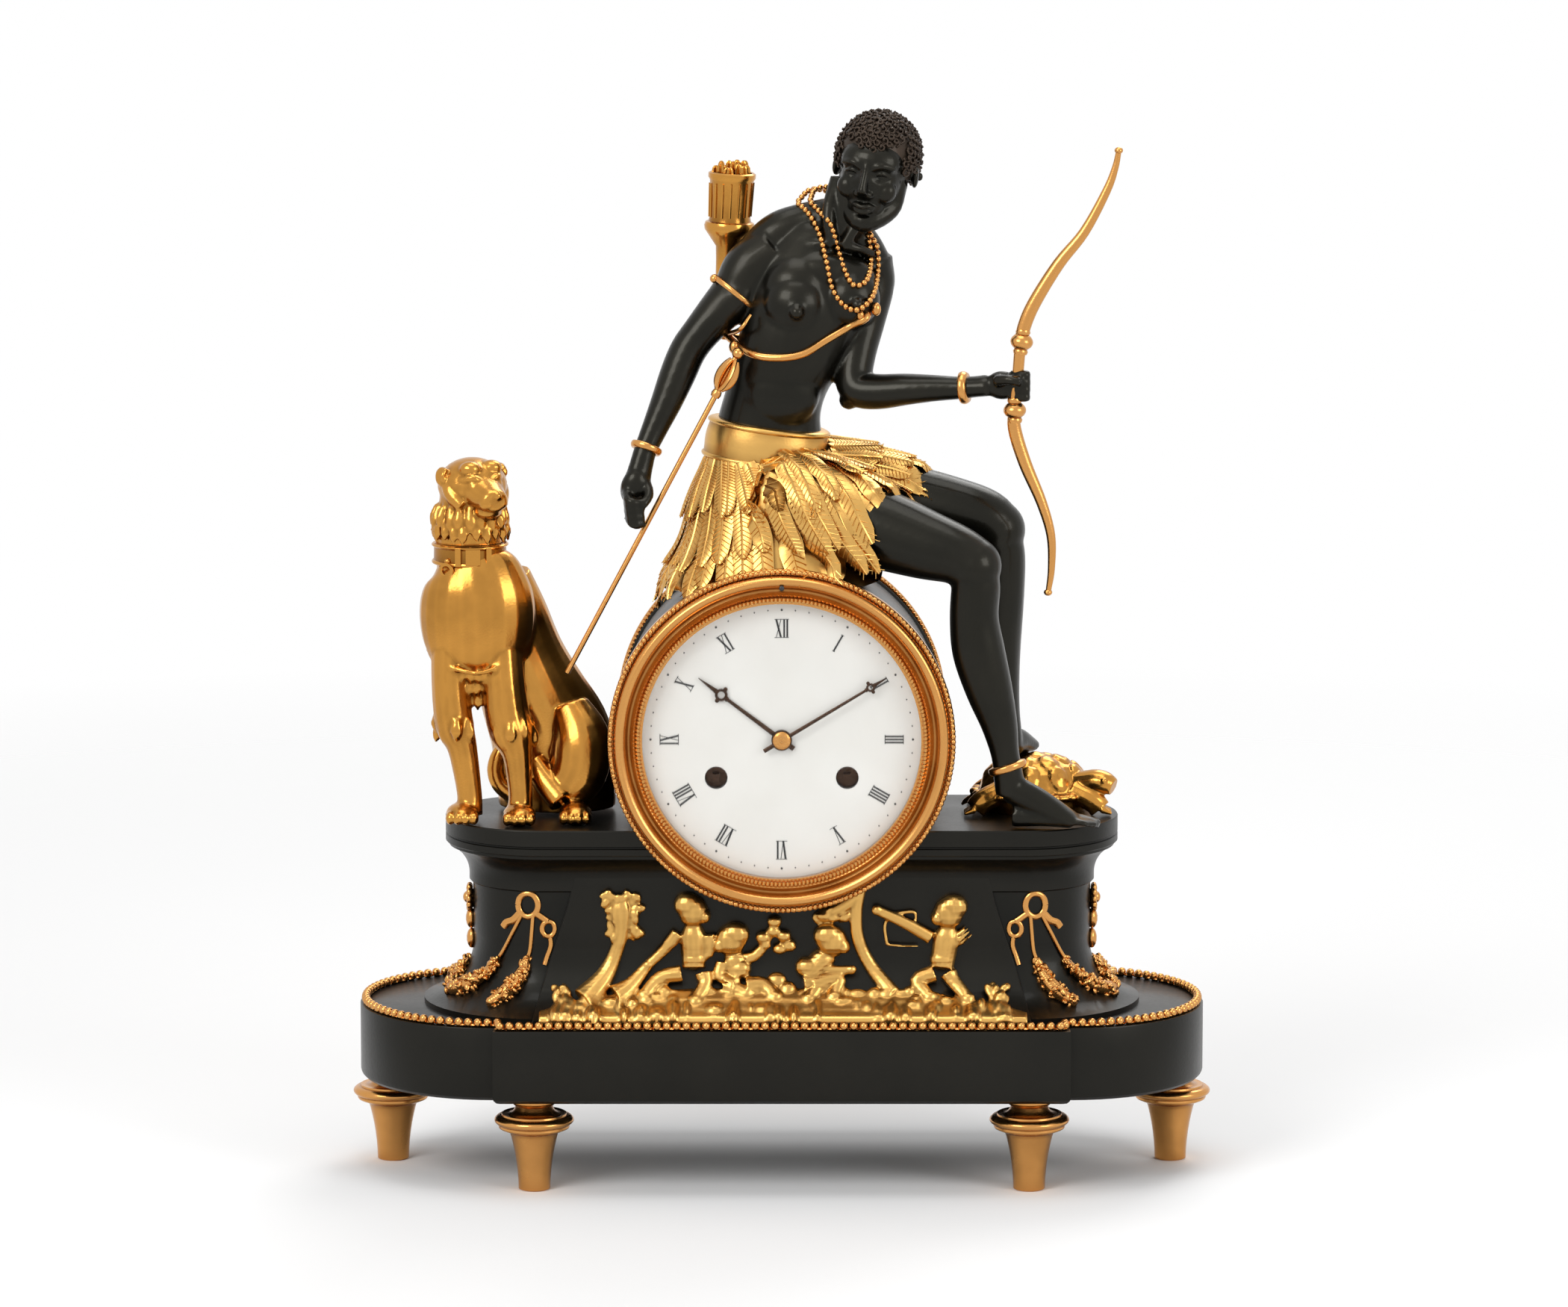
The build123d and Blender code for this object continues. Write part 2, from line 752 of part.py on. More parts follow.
# Dial and the brass mount behind it
winding_places = ((-winding_x, -winding_drop), (winding_x, -winding_drop))
dial_centre_bore = hour_pipe_radius + 3 * hand_gap / 2
with BuildPart() as dial:
    with BuildSketch(facing_plane(dial_back, 0, dial_height)):
        Circle(dial_radius)
        Circle(dial_centre_bore, mode=Mode.SUBTRACT)
        with Locations(*winding_places):
            Circle(winding_hole_radius, mode=Mode.SUBTRACT)
    extrude(amount=dial_thickness)
save(dial.part, "dial")

dial_foot_angles = (60, 180, 300)
dial_feet = [
    (dial_foot_circle * cos(angle * pi / 180), dial_foot_circle * sin(angle * pi / 180))
    for angle in dial_foot_angles
]
with BuildPart() as dial_mount:
    with BuildSketch(facing_plane(mount_back, 0, dial_height)):
        Circle(drum_radius - drum_wall - run_clearance)
        Circle(dial_mount_bore, mode=Mode.SUBTRACT)
        with Locations(*winding_places):
            Circle(winding_hole_radius, mode=Mode.SUBTRACT)
    extrude(amount=dial_mount_thickness)
    with BuildSketch(facing_plane(front_plate_front, 0, dial_height)):
        with Locations(*dial_feet):
            Circle(dial_foot_radius)
    extrude(amount=front_plate_front - mount_back)
save(dial_mount.part, "dial_mount")

strap_width = 8.0
strap_thickness = 1.6
strap_x = drum_radius - drum_wall - strap_thickness - 2 * seat_gap
with BuildPart() as movement_straps:
    strap_length = drum_back - drum_flange_thickness - mount_back
    with BuildSketch(facing_plane(drum_back - drum_flange_thickness, 0, dial_height)):
        with Locations((-strap_x, 0), (strap_x, 0)):
            Rectangle(strap_thickness, strap_width)
    extrude(amount=strap_length)
save(movement_straps.part, "movement_straps")

# Movement plates
second_x, second_z = 20.5, 5.1
third_x, third_z = -9.5, 12.6
escape_x, escape_z = 0, 18.0
pin_wheel_x, pin_wheel_z = -33.0, 6.2
hammer_x, hammer_z = -38.0, 16.0
minute_x, minute_z = -8.3, 8.3
pillar_place_shares = ((-0.57, 0.66), (0.57, 0.66), (-0.21, -0.87), (0.21, -0.87))
pillar_places = [(plate_radius * across, plate_radius * up) for across, up in pillar_place_shares]
fine_arbors = (
    (0, 0),
    (second_x, second_z),
    (third_x, third_z),
    (escape_x, escape_z),
    (pin_wheel_x, pin_wheel_z),
    (hammer_x, hammer_z),
    (0, anchor_height),
)


def movement_plate(back):
    with BuildPart() as plate:
        with BuildSketch(facing_plane(back, 0, dial_height)):
            Circle(plate_radius)
            with Locations(*fine_arbors):
                Circle(arbor_radius + run_clearance, mode=Mode.SUBTRACT)
            with Locations(*winding_places):
                Circle(winding_arbor_radius + run_clearance, mode=Mode.SUBTRACT)
        extrude(amount=plate_thickness)
    return plate.part


# The front plate carries a stud for the minute wheel
stud_length = motion_space - wheel_thickness
minute_stud = cylinder(minute_x, dial_height + minute_z, arbor_radius, front_plate_front, stud_length)
save(joined(movement_plate(front_plate_back), minute_stud), "front_plate")
save(movement_plate(back_plate_back), "back_plate")

with BuildPart() as plate_pillars:
    with BuildSketch(facing_plane(back_plate_front, 0, dial_height)):
        with Locations(*pillar_places):
            Circle(pillar_radius)
    extrude(amount=plate_gap)
save(plate_pillars.part, "plate_pillars")

# Winding arbors with their ratchet wheels, and the two spring barrels
winding_front = dial_front + dial_thickness / 2
ratchet_radius = 8.0
ratchet_teeth = 16
barrel_back = front_plate_back + barrel_length + wheel_thickness
barrel_teeth = 48
arbor_back = back_plate_back + run_clearance
strike_arbor_back = back_plate_back + seat_gap + 2 * wheel_thickness
for side, winding_name, barrel_name, arbor_end in (
    (-1, "strike_winding_arbor", "strike_barrel", strike_arbor_back),
    (1, "going_winding_arbor", "going_barrel", arbor_back),
):
    barrel_x = side * winding_x
    with BuildPart() as winding_arbor:
        add(cylinder(barrel_x, winding_z, winding_arbor_radius, arbor_end, arbor_end - front_plate_front))
        add(toothed_disc(barrel_x, winding_z, ratchet_radius, ratchet_teeth, front_plate_front - seat_gap,
                         wheel_thickness))
        with BuildSketch(facing_plane(front_plate_front, barrel_x, winding_z)):
            Rectangle(winding_square, winding_square)
        extrude(amount=front_plate_front - winding_front)
    save(winding_arbor.part, winding_name)
    with BuildPart() as barrel:
        add(toothed_disc(barrel_x, winding_z, barrel_tooth_radius, barrel_teeth, barrel_back,
                         2 * wheel_thickness))
        add(cylinder(barrel_x, winding_z, barrel_radius, barrel_back, barrel_length))
        add(cylinder(barrel_x, winding_z, winding_arbor_radius + run_clearance, barrel_back + overrun,
                     2 * plate_gap), mode=Mode.SUBTRACT)
    save(barrel.part, barrel_name)

# Click that holds each ratchet
click_width = 3.0
click_length = 7.0
with BuildPart() as clicks:
    click_x = winding_x + ratchet_radius + seat_gap + click_width / 2
    for side in (-1, 1):
        with BuildSketch(facing_plane(front_plate_front, side * click_x, winding_z)):
            Rectangle(click_width, click_length)
        extrude(amount=wheel_thickness + seat_gap)
save(clicks.part, "clicks")

# Going train
second_back = barrel_back + 3 * wheel_thickness + seat_gap
centre_back = second_back + 3 * wheel_thickness
third_back = centre_back + 3 * wheel_thickness
escape_back = third_back + 2 * wheel_thickness
arbor_length = back_plate_back - front_plate_front


def train_arbor(label, x, z, tip_radius, teeth, back, pinion, pinion_back, pinion_length):
    """An arbor between the plates with one wheel and the pinion that drives it."""
    with BuildPart() as arbor:
        add(cylinder(x, z, arbor_radius, back_plate_back, arbor_length))
        add(toothed_disc(x, z, tip_radius, teeth, back, wheel_thickness))
        add(cylinder(x, z, pinion, pinion_back, pinion_length))
    save(arbor.part, label)


train_arbor("second_wheel", second_x, dial_height + second_z, second_wheel_radius, 40, second_back,
            pinion_radius - mesh_clearance, second_back - wheel_thickness, 4 * wheel_thickness)
train_arbor("third_wheel", third_x, dial_height + third_z, third_wheel_radius, 30, third_back,
            fine_pinion_radius, third_back - wheel_thickness, 3 * wheel_thickness)
train_arbor("escape_wheel", escape_x, dial_height + escape_z, escape_wheel_radius, 24, escape_back,
            fine_pinion_radius, escape_back - wheel_thickness, 2 * wheel_thickness)
train_arbor("pin_wheel", pin_wheel_x, dial_height + pin_wheel_z, pin_wheel_radius, 20, second_back,
            pinion_radius - mesh_clearance, second_back - wheel_thickness, 4 * wheel_thickness)

# Centre arbor: wheel, pinion, and the long front pivot that carries the minute hand
hour_hand_back = dial_front - hand_gap / 2
minute_hand_back = hour_hand_back - hand_thickness - hand_gap
centre_front = minute_hand_back - hand_thickness
motion_back = front_plate_front - seat_gap
cannon_length = wheel_thickness + seat_gap
hour_wheel_back = motion_back - cannon_length - seat_gap
with BuildPart() as centre_wheel:
    add(cylinder(0, dial_height, arbor_radius, back_plate_back, back_plate_back - centre_front))
    add(toothed_disc(0, dial_height, centre_wheel_radius, 36, centre_back, wheel_thickness))
    add(cylinder(0, dial_height, pinion_radius, centre_back - wheel_thickness, 3 * wheel_thickness))
    add(cylinder(0, dial_height, cannon_radius, motion_back, cannon_length))
    add(cylinder(0, dial_height, minute_pipe_radius, front_plate_front - seat_gap,
                 front_plate_front - seat_gap - centre_front))
save(centre_wheel.part, "centre_wheel")

with BuildPart() as hour_wheel:
    pipe_bore = minute_pipe_radius + run_clearance
    add(toothed_disc(0, dial_height, hour_wheel_radius, 32, hour_wheel_back, wheel_thickness))
    add(cylinder(0, dial_height, hour_pipe_radius, hour_wheel_back,
                 hour_wheel_back - hour_hand_back + hand_thickness))
    add(cylinder(0, dial_height, pipe_bore, front_plate_front, 2 * bezel_depth), mode=Mode.SUBTRACT)
save(hour_wheel.part, "hour_wheel")

with BuildPart() as minute_wheel:
    add(toothed_disc(minute_x, dial_height + minute_z, minute_wheel_radius, 30,
                     motion_back - seat_gap, wheel_thickness - seat_gap))
    add(cylinder(minute_x, dial_height + minute_z, minute_pinion_radius, motion_back - seat_gap,
                 motion_back - seat_gap - hour_wheel_back + wheel_thickness))
    add(cylinder(minute_x, dial_height + minute_z, arbor_radius + run_clearance, front_plate_front,
                 2 * bezel_depth), mode=Mode.SUBTRACT)
save(minute_wheel.part, "minute_wheel")

# Anchor, crutch and suspension cock
pallet_reach = anchor_height - escape_z - escape_wheel_radius + 2 * arbor_radius
pallet_half_span = 6.0
pallet_width = 2.0
fork_y = pendulum_y
crutch_y = back_plate_back + arbor_radius + wheel_thickness
with BuildPart() as anchor:
    add(cylinder(0, anchor_z, arbor_radius, crutch_y, crutch_y - front_plate_front))
    with BuildSketch(facing_plane(escape_back, 0, anchor_z)):
        with BuildLine():
            Polyline(
                (-pallet_half_span, -pallet_reach),
                (-pallet_half_span - pallet_width, -pallet_reach),
                (-pallet_half_span - pallet_width, -pallet_reach / 2),
                (0, 2 * pallet_width),
                (pallet_half_span + pallet_width, -pallet_reach / 2),
                (pallet_half_span + pallet_width, -pallet_reach),
                (pallet_half_span, -pallet_reach),
                (pallet_half_span, -pallet_reach / 2),
                (0, -pallet_width),
                (-pallet_half_span, -pallet_reach / 2),
                close=True,
            )
        make_face()
    extrude(amount=wheel_thickness)
save(anchor.part, "anchor")

fork_gap = pendulum_rod_radius + 2 * run_clearance
with BuildPart() as crutch:
    with BuildSketch(facing_plane(crutch_y, 0, anchor_z)):
        with BuildLine():
            Polyline(
                (-pallet_width, 2 * pallet_width),
                (pallet_width, 2 * pallet_width),
                (arbor_radius, -crutch_length),
                (-arbor_radius, -crutch_length),
                close=True,
            )
        make_face()
        Circle(arbor_radius, mode=Mode.SUBTRACT)
    extrude(amount=wheel_thickness)
    with BuildSketch(facing_plane(fork_y + pallet_width, 0, anchor_z - crutch_length)):
        Rectangle(2 * (fork_gap + pallet_width / 2), pallet_width)
    extrude(amount=fork_y + pallet_width - crutch_y + wheel_thickness)
    with BuildSketch(facing_plane(fork_y + pallet_width, 0, anchor_z - crutch_length)):
        Rectangle(2 * fork_gap, pallet_width)
    extrude(amount=2 * pallet_width, mode=Mode.SUBTRACT)
save(crutch.part, "crutch")

cock_width = 14.0
cock_height = 9.0
cock_arm = 4.0
cock_rise = 4.5
pivot_radius = 1.0
with BuildPart() as suspension_cock:
    cock_back = pendulum_y + 2 * pallet_width
    cock_z = anchor_z + cock_rise + cock_height / 4
    with BuildSketch(facing_plane(back_plate_back + wheel_thickness, 0, cock_z)):
        Rectangle(cock_width, cock_height / 2)
    extrude(amount=wheel_thickness)
    with BuildSketch(facing_plane(cock_back, 0, cock_z)):
        Rectangle(cock_arm, cock_height / 2)
    extrude(amount=cock_back - back_plate_back)
    with BuildSketch(facing_plane(cock_back, 0, anchor_z + cock_rise / 2)):
        Rectangle(cock_arm, cock_rise + 2 * pivot_radius)
    extrude(amount=pallet_width)
    add(cylinder(0, anchor_z, pivot_radius, cock_back - pallet_width / 2, 2 * pallet_width))
save(suspension_cock.part, "suspension_cock")

# Pendulum: an eye on the cock's pivot, a rod and a lens-shaped bob
eye_radius = 2.2
bob_z = anchor_z - pendulum_drop
bob_edge_share = 0.3
with BuildPart() as pendulum:
    eye_back = pendulum_y + pivot_radius
    add(cylinder(0, anchor_z, eye_radius, eye_back, 2 * pivot_radius))
    with BuildSketch(Plane.XY.offset(bob_z)):
        with Locations((0, pendulum_y)):
            Circle(pendulum_rod_radius)
    extrude(amount=pendulum_drop - eye_radius / 2)
    with BuildSketch(Plane(origin=(0, pendulum_y, bob_z), x_dir=(1, 0, 0), z_dir=(0, 0, 1))):
        with BuildLine():
            Polyline(
                (0, -bob_thickness / 2),
                (bob_radius * (1 - bob_edge_share), -bob_thickness * bob_edge_share),
                (bob_radius, 0),
                (bob_radius * (1 - bob_edge_share), bob_thickness * bob_edge_share),
                (0, bob_thickness / 2),
                close=True,
            )
        make_face()
    revolve(axis=Axis((0, pendulum_y, bob_z), (0, 1, 0)))
    add(cylinder(0, anchor_z, pivot_radius + run_clearance, eye_back + overrun, 2 * overrun),
        mode=Mode.SUBTRACT)
save(pendulum.part, "pendulum")

# Bell, its stand and its hammer
bell_z = dial_height + bell_rise
bell_mouth = back_plate_back + bell_gap
bell_crown = bell_mouth + bell_depth
bell_shoulder_share = 0.88
crown_share = 0.55
post_x = 30.0
post_drop = 26.0
post_z = dial_height - post_drop
post_radius = 2.4
stand_thickness = 2.0
stand_width = 6.0
with BuildPart() as bell:
    with BuildSketch(turning_plane(0, bell_z)):
        with BuildLine():
            Polyline(
                (bell_radius, bell_mouth),
                (bell_radius * bell_shoulder_share, bell_mouth + bell_depth * crown_share),
                (bell_radius * crown_share, bell_crown),
                (pinion_radius, bell_crown),
                (pinion_radius, bell_crown - bell_wall),
                (bell_radius * crown_share - bell_wall / 2, bell_crown - bell_wall),
                (bell_radius * bell_shoulder_share - bell_wall,
                 bell_mouth + bell_depth * crown_share - bell_wall / 2),
                (bell_radius - bell_wall, bell_mouth),
                close=True,
            )
        make_face()
    revolve(axis=y_axis(0, bell_z))
save(bell.part, "bell")

stand_angle = degrees(atan2(bell_z - post_z, -post_x))
stand_length = sqrt(post_x**2 + (bell_z - post_z) ** 2)
with BuildPart() as bell_stand:
    add(cylinder(post_x, post_z, post_radius, bell_crown + stand_thickness,
                 bell_crown + stand_thickness - back_plate_back))
    with BuildSketch(facing_plane(bell_crown + stand_thickness, post_x / 2, (post_z + bell_z) / 2)):
        SlotOverall(stand_length + stand_width, stand_width, rotation=stand_angle)
    extrude(amount=stand_thickness)
    add(cylinder(0, bell_z, pinion_radius - run_clearance, bell_crown, bell_wall + run_clearance))
save(bell_stand.part, "bell_stand")

hammer_reach_share = 0.42
strike_drop = bell_radius * hammer_reach_share
hammer_head_x = -sqrt((bell_radius + hammer_head_radius + seat_gap) ** 2 - strike_drop**2)
hammer_head_z = bell_z - strike_drop
hammer_pivot_z = dial_height + hammer_z
hammer_back = bell_mouth + hammer_head_radius + stand_thickness
with BuildPart() as hammer:
    add(cylinder(hammer_x, hammer_pivot_z, arbor_radius, hammer_back, hammer_back - front_plate_front))
    stem_length = sqrt((hammer_head_x - hammer_x) ** 2 + (hammer_head_z - hammer_pivot_z) ** 2)
    stem_angle = degrees(atan2(hammer_head_z - hammer_pivot_z, hammer_head_x - hammer_x))
    with BuildSketch(facing_plane(hammer_back, (hammer_x + hammer_head_x) / 2,
                                  (hammer_pivot_z + hammer_head_z) / 2)):
        SlotOverall(stem_length + 3 * arbor_radius, 3 * arbor_radius, rotation=stem_angle)
    extrude(amount=stand_thickness)
    add(cylinder(hammer_head_x, hammer_head_z, hammer_head_radius, hammer_back,
                 hammer_back - bell_mouth + hammer_head_radius / 2))
save(hammer.part, "hammer")

# Count wheel on the strike barrel's arbor line, behind the back plate
with BuildPart() as count_wheel:
    notch_steps = (1, 3, 6, 10, 15, 21, 28, 36, 45, 55, 66, 78)
    notch_share = 0.9
    notch_width = 1.6
    with BuildSketch(facing_plane(back_plate_back + seat_gap + wheel_thickness, -winding_x, winding_z)):
        Circle(count_wheel_radius)
        for step in notch_steps:
            with Locations(Rotation(0, 0, 360 * step / notch_steps[-1])):
                with Locations((count_wheel_radius * (1 + notch_share) / 2, 0)):
                    Rectangle(count_wheel_radius * (1 - notch_share), notch_width, mode=Mode.SUBTRACT)
        Circle(winding_arbor_radius + run_clearance, mode=Mode.SUBTRACT)
    extrude(amount=wheel_thickness)
save(count_wheel.part, "count_wheel")

# Hands


def hand(label, length, angle, back, bore, ring_share, ring_radius, ring_hole):
    """A slim tapered hand with a pierced ring and a hub. The angle is from twelve, to the left."""
    root_width_share = 0.030
    tip_width_share = 0.012
    with BuildPart() as pointer:
        with BuildSketch(facing_plane(back, 0, dial_height)):
            with BuildLine():
                Polyline(
                    (-length * root_width_share, 0),
                    (-length * tip_width_share, length),
                    (length * tip_width_share, length),
                    (length * root_width_share, 0),
                    close=True,
                )
            make_face()
            with Locations((0, length * ring_share)):
                Circle(ring_radius)
                Circle(ring_hole, mode=Mode.SUBTRACT)
            Circle(hand_hub_radius)
            Circle(bore, mode=Mode.SUBTRACT)
        extrude(amount=hand_thickness)
    save(pointer.part.rotate(y_axis(0, dial_height), -angle), label)


hour_ring_radius = 3.6
minute_ring_radius = 2.2
ring_line = 1.1
hour_ring_share = 0.72
minute_ring_share = 0.84
hand("hour_hand", hour_hand_length, hour_hand_angle, hour_hand_back, hour_pipe_radius + run_clearance,
     hour_ring_share, hour_ring_radius, hour_ring_radius - ring_line)
hand("minute_hand", minute_hand_length, minute_hand_angle, minute_hand_back,
     minute_pipe_radius + run_clearance, minute_ring_share, minute_ring_radius,
     minute_ring_radius - ring_line)
save(cylinder(0, dial_height, collet_radius, centre_front, hand_gap / 2), "hand_collet")


# Cast figures: many-sided sections joined by straight faces


def station_plane(point, normal):
    if normal == "up":
        return Plane(origin=point, x_dir=(1, 0, 0), z_dir=(0, 0, 1))
    if normal == "right":
        return Plane(origin=point, x_dir=(0, 1, 0), z_dir=(1, 0, 0))
    return Plane(origin=point, x_dir=(1, 0, 0), z_dir=(0, -1, 0))


def placed(origin, unit, share):
    return tuple(start + unit * part for start, part in zip(origin, share))


def oval(half_width, half_height):
    """A flat many-sided oval in the current sketch."""
    corner_angles = [2 * pi * corner / limb_sides for corner in range(limb_sides)]
    Polygon(
        *((half_width * cos(angle), half_height * sin(angle)) for angle in corner_angles),
        align=None,
    )


def body_form(origin, unit, station_shares, normal="up", grow_share=0):
    """Sections on parallel planes. Each row is x, y, z, half width and half depth, as shares."""
    with BuildPart() as form:
        for x, y, z, half_width, half_depth in station_shares:
            with BuildSketch(station_plane(placed(origin, unit, (x, y, z)), normal)):
                oval(unit * (half_width + grow_share), unit * (half_depth + grow_share))
        loft(ruled=True)
    return form.part


def taper(origin, unit, start_share, end_share, radius_shares):
    """A straight tapering form from one point to another: rows of place along it and radius."""
    start = Vector(*placed(origin, unit, start_share))
    end = Vector(*placed(origin, unit, end_share))
    with BuildPart() as form:
        for along, radius in radius_shares:
            with BuildSketch(Plane(origin=start + (end - start) * along, z_dir=end - start)):
                oval(unit * radius, unit * radius)
        loft(ruled=True)
    return form.part


# Huntress, placed from the top of the drum and measured in heads
seat = (0, 0, drum_top)
head_unit = head_height
band_share = 0.035

hips_shares = (
    (-0.08, 0.00, 0.01, 0.50, 0.44),
    (-0.08, -0.02, 0.35, 0.56, 0.46),
    (-0.11, -0.03, 0.80, 0.47, 0.36),
    (-0.11, -0.04, 1.15, 0.43, 0.32),
)
torso_shares = (
    (-0.11, -0.04, 1.15, 0.43, 0.32),
    (-0.06, -0.06, 1.37, 0.43, 0.32),
    (0.01, -0.09, 1.69, 0.45, 0.36),
    (0.19, -0.11, 1.98, 0.48, 0.41),
    (0.27, -0.09, 2.30, 0.56, 0.40),
    (0.33, -0.04, 2.52, 0.52, 0.33),
    (0.40, 0.00, 2.67, 0.41, 0.26),
    (0.49, -0.02, 2.76, 0.23, 0.20),
)
neck_shares = (
    (0.49, -0.02, 2.76, 0.19, 0.18),
    (0.64, -0.06, 3.04, 0.18, 0.17),
)
head_shares = (
    (0.66, -0.12, 2.88, 0.15, 0.18),
    (0.70, -0.12, 3.02, 0.30, 0.35),
    (0.73, -0.11, 3.19, 0.38, 0.44),
    (0.76, -0.09, 3.37, 0.41, 0.46),
    (0.77, -0.07, 3.55, 0.36, 0.40),
    (0.78, -0.06, 3.67, 0.23, 0.25),
    (0.78, -0.06, 3.72, 0.09, 0.11),
)
near_foot_shares = (
    (1.74, -0.70, -1.893, 0.13, 0.167),
    (1.93, -0.70, -1.884, 0.157, 0.176),
    (2.19, -0.74, -1.95, 0.167, 0.11),
    (2.44, -0.78, -1.985, 0.148, 0.075),
    (2.56, -0.80, -2.004, 0.11, 0.056),
)
far_foot_shares = (
    (1.76, -0.12, -1.44, 0.09, 0.10),
    (1.83, 0.02, -1.42, 0.13, 0.13),
    (1.92, 0.28, -1.52, 0.14, 0.08),
    (2.00, 0.48, -1.58, 0.10, 0.05),
)
skirt_shares = (
    (-0.02, -0.04, -0.15, 1.04, 0.60),
    (0.105, -0.07, 0.26, 1.035, 0.62),
    (0.055, -0.08, 0.54, 0.865, 0.56),
    (-0.065, -0.05, 0.76, 0.635, 0.47),
    (-0.12, -0.04, 0.84, 0.52, 0.40),
)
belt_shares = (
    (-0.11, -0.03, 0.84, 0.46, 0.355),
    (-0.11, -0.04, 1.15, 0.43, 0.32),
)
cord_shares = (
    (0.054, -0.095, 1.76, 0.458, 0.373),
    (0.097, -0.100, 1.83, 0.465, 0.385),
)
near_hip = (0.05, -0.30, 0.50)
near_knee = (1.54, -0.80, 0.16)
near_ankle = (1.83, -0.70, -1.78)
far_hip = (0.15, 0.12, 0.52)
far_knee = (1.74, -0.20, 0.40)
far_ankle = (1.86, -0.02, -1.40)
right_shoulder = (-0.04, 0.00, 2.44)
right_elbow = (-0.74, -0.15, 1.89)
right_wrist = (-1.10, -0.41, 1.04)
right_fingers = (-1.15, -0.53, 0.34)
left_shoulder = (0.68, 0.02, 2.42)
left_elbow = (0.57, -0.22, 1.44)
left_wrist = (1.46, -0.50, 1.50)
left_fingers = (2.02, -0.70, 1.55)
near_thigh_shares = ((0, 0.38), (0.5, 0.34), (0.93, 0.25), (1.08, 0.18))
far_thigh_shares = ((0, 0.36), (0.5, 0.33), (0.93, 0.26), (1.08, 0.19))
shin_shares = ((0, 0.23), (0.12, 0.20), (0.35, 0.215), (0.68, 0.15), (0.90, 0.118), (1, 0.118))
upper_arm_shares = ((0, 0.25), (0.40, 0.21), (0.85, 0.17), (1.08, 0.15))
forearm_shares = ((-0.08, 0.15), (0.22, 0.18), (0.60, 0.15), (1, 0.115))
hand_shares = ((-0.05, 0.11), (0.35, 0.165), (0.75, 0.155), (1, 0.09))

# Arrow in her right hand and bow in her left
arrow_radius = 1.5
arrow_tail = (-0.36, -0.42, 1.78)
arrow_tip = (-1.74, -0.60, -0.80)
arrow_radius_share = arrow_radius / head_unit
arrow_shares = (
    (0, 2 * arrow_radius_share),
    (0.02, 3 * arrow_radius_share),
    (0.08, 3 * arrow_radius_share),
    (0.12, arrow_radius_share),
    (0.92, arrow_radius_share),
    (0.93, 2 * arrow_radius_share),
    (1, arrow_radius_share / 3),
)
arrow_part = taper(seat, head_unit, arrow_tail, arrow_tip, arrow_shares)
arrow_bore = taper(seat, head_unit, arrow_tail, arrow_tip,
                   ((0, arrow_radius_share + run_clearance / head_unit),
                    (1, arrow_radius_share + run_clearance / head_unit)))
save(arrow_part, "arrow")

bow_y_share = -0.70
bow_thickness = 4.4
bow_ball_radius = 5.0
bow_line_shares = (
    (2.73, 3.48, 0.020),
    (2.63, 3.16, 0.032),
    (2.46, 2.83, 0.042),
    (2.25, 2.57, 0.048),
    (2.04, 2.25, 0.050),
    (1.96, 1.93, 0.052),
    (1.90, 1.39, 0.052),
    (1.89, 1.24, 0.050),
    (1.99, 0.95, 0.048),
    (2.13, 0.64, 0.042),
    (2.21, 0.37, 0.036),
    (2.20, 0.06, 0.028),
    (2.18, -0.11, 0.018),
)
bow_ball_shares = ((1.955, 1.93), (1.90, 1.39))
with BuildPart() as bow:
    bow_back = head_unit * bow_y_share + bow_thickness / 2
    with BuildSketch(facing_plane(bow_back, 0, drum_top)):
        with BuildLine():
            Polyline(
                *((head_unit * (x + half), head_unit * z) for x, z, half in bow_line_shares),
                *((head_unit * (x - half), head_unit * z) for x, z, half in reversed(bow_line_shares)),
                close=True,
            )
        make_face()
    extrude(amount=bow_thickness)
    for ball_x_share, ball_z_share in bow_ball_shares:
        ball_z = drum_top + head_unit * ball_z_share
        ball_x = head_unit * ball_x_share
        with BuildSketch(upright_plane(ball_x, head_unit * bow_y_share)):
            with BuildLine():
                Polyline(
                    (0, ball_z - bow_ball_radius),
                    (bow_ball_radius / sqrt(2), ball_z - bow_ball_radius / sqrt(2)),
                    (bow_ball_radius, ball_z),
                    (bow_ball_radius / sqrt(2), ball_z + bow_ball_radius / sqrt(2)),
                    (0, ball_z + bow_ball_radius),
                    close=True,
                )
            make_face()
        revolve(axis=z_axis(ball_x, head_unit * bow_y_share))
save(bow.part, "bow")

hips = body_form(seat, head_unit, hips_shares)
torso = body_form(seat, head_unit, torso_shares)
near_thigh = taper(seat, head_unit, near_hip, near_knee, near_thigh_shares)
near_shin = taper(seat, head_unit, near_knee, near_ankle, shin_shares)
near_leg = joined(near_thigh, near_shin, body_form(seat, head_unit, near_foot_shares, "right"),
                  less=(hips,))
far_thigh = taper(seat, head_unit, far_hip, far_knee, far_thigh_shares)
far_shin = taper(seat, head_unit, far_knee, far_ankle, shin_shares)
far_leg = joined(far_thigh, far_shin, body_form(seat, head_unit, far_foot_shares, "front"),
                 less=(hips, near_leg))
head_form = joined(body_form(seat, head_unit, neck_shares), body_form(seat, head_unit, head_shares))
right_arm = joined(
    taper(seat, head_unit, right_shoulder, right_elbow, upper_arm_shares),
    taper(seat, head_unit, right_elbow, right_wrist, forearm_shares),
    taper(seat, head_unit, right_wrist, right_fingers, hand_shares),
    less=(torso, arrow_bore),
)
left_arm = joined(
    taper(seat, head_unit, left_shoulder, left_elbow, upper_arm_shares),
    taper(seat, head_unit, left_elbow, left_wrist, forearm_shares),
    taper(seat, head_unit, left_wrist, left_fingers, hand_shares),
    less=(torso, bow.part),
)
save(hips, "figure_hips")
save(torso, "figure_torso")
save(head_form, "figure_head")
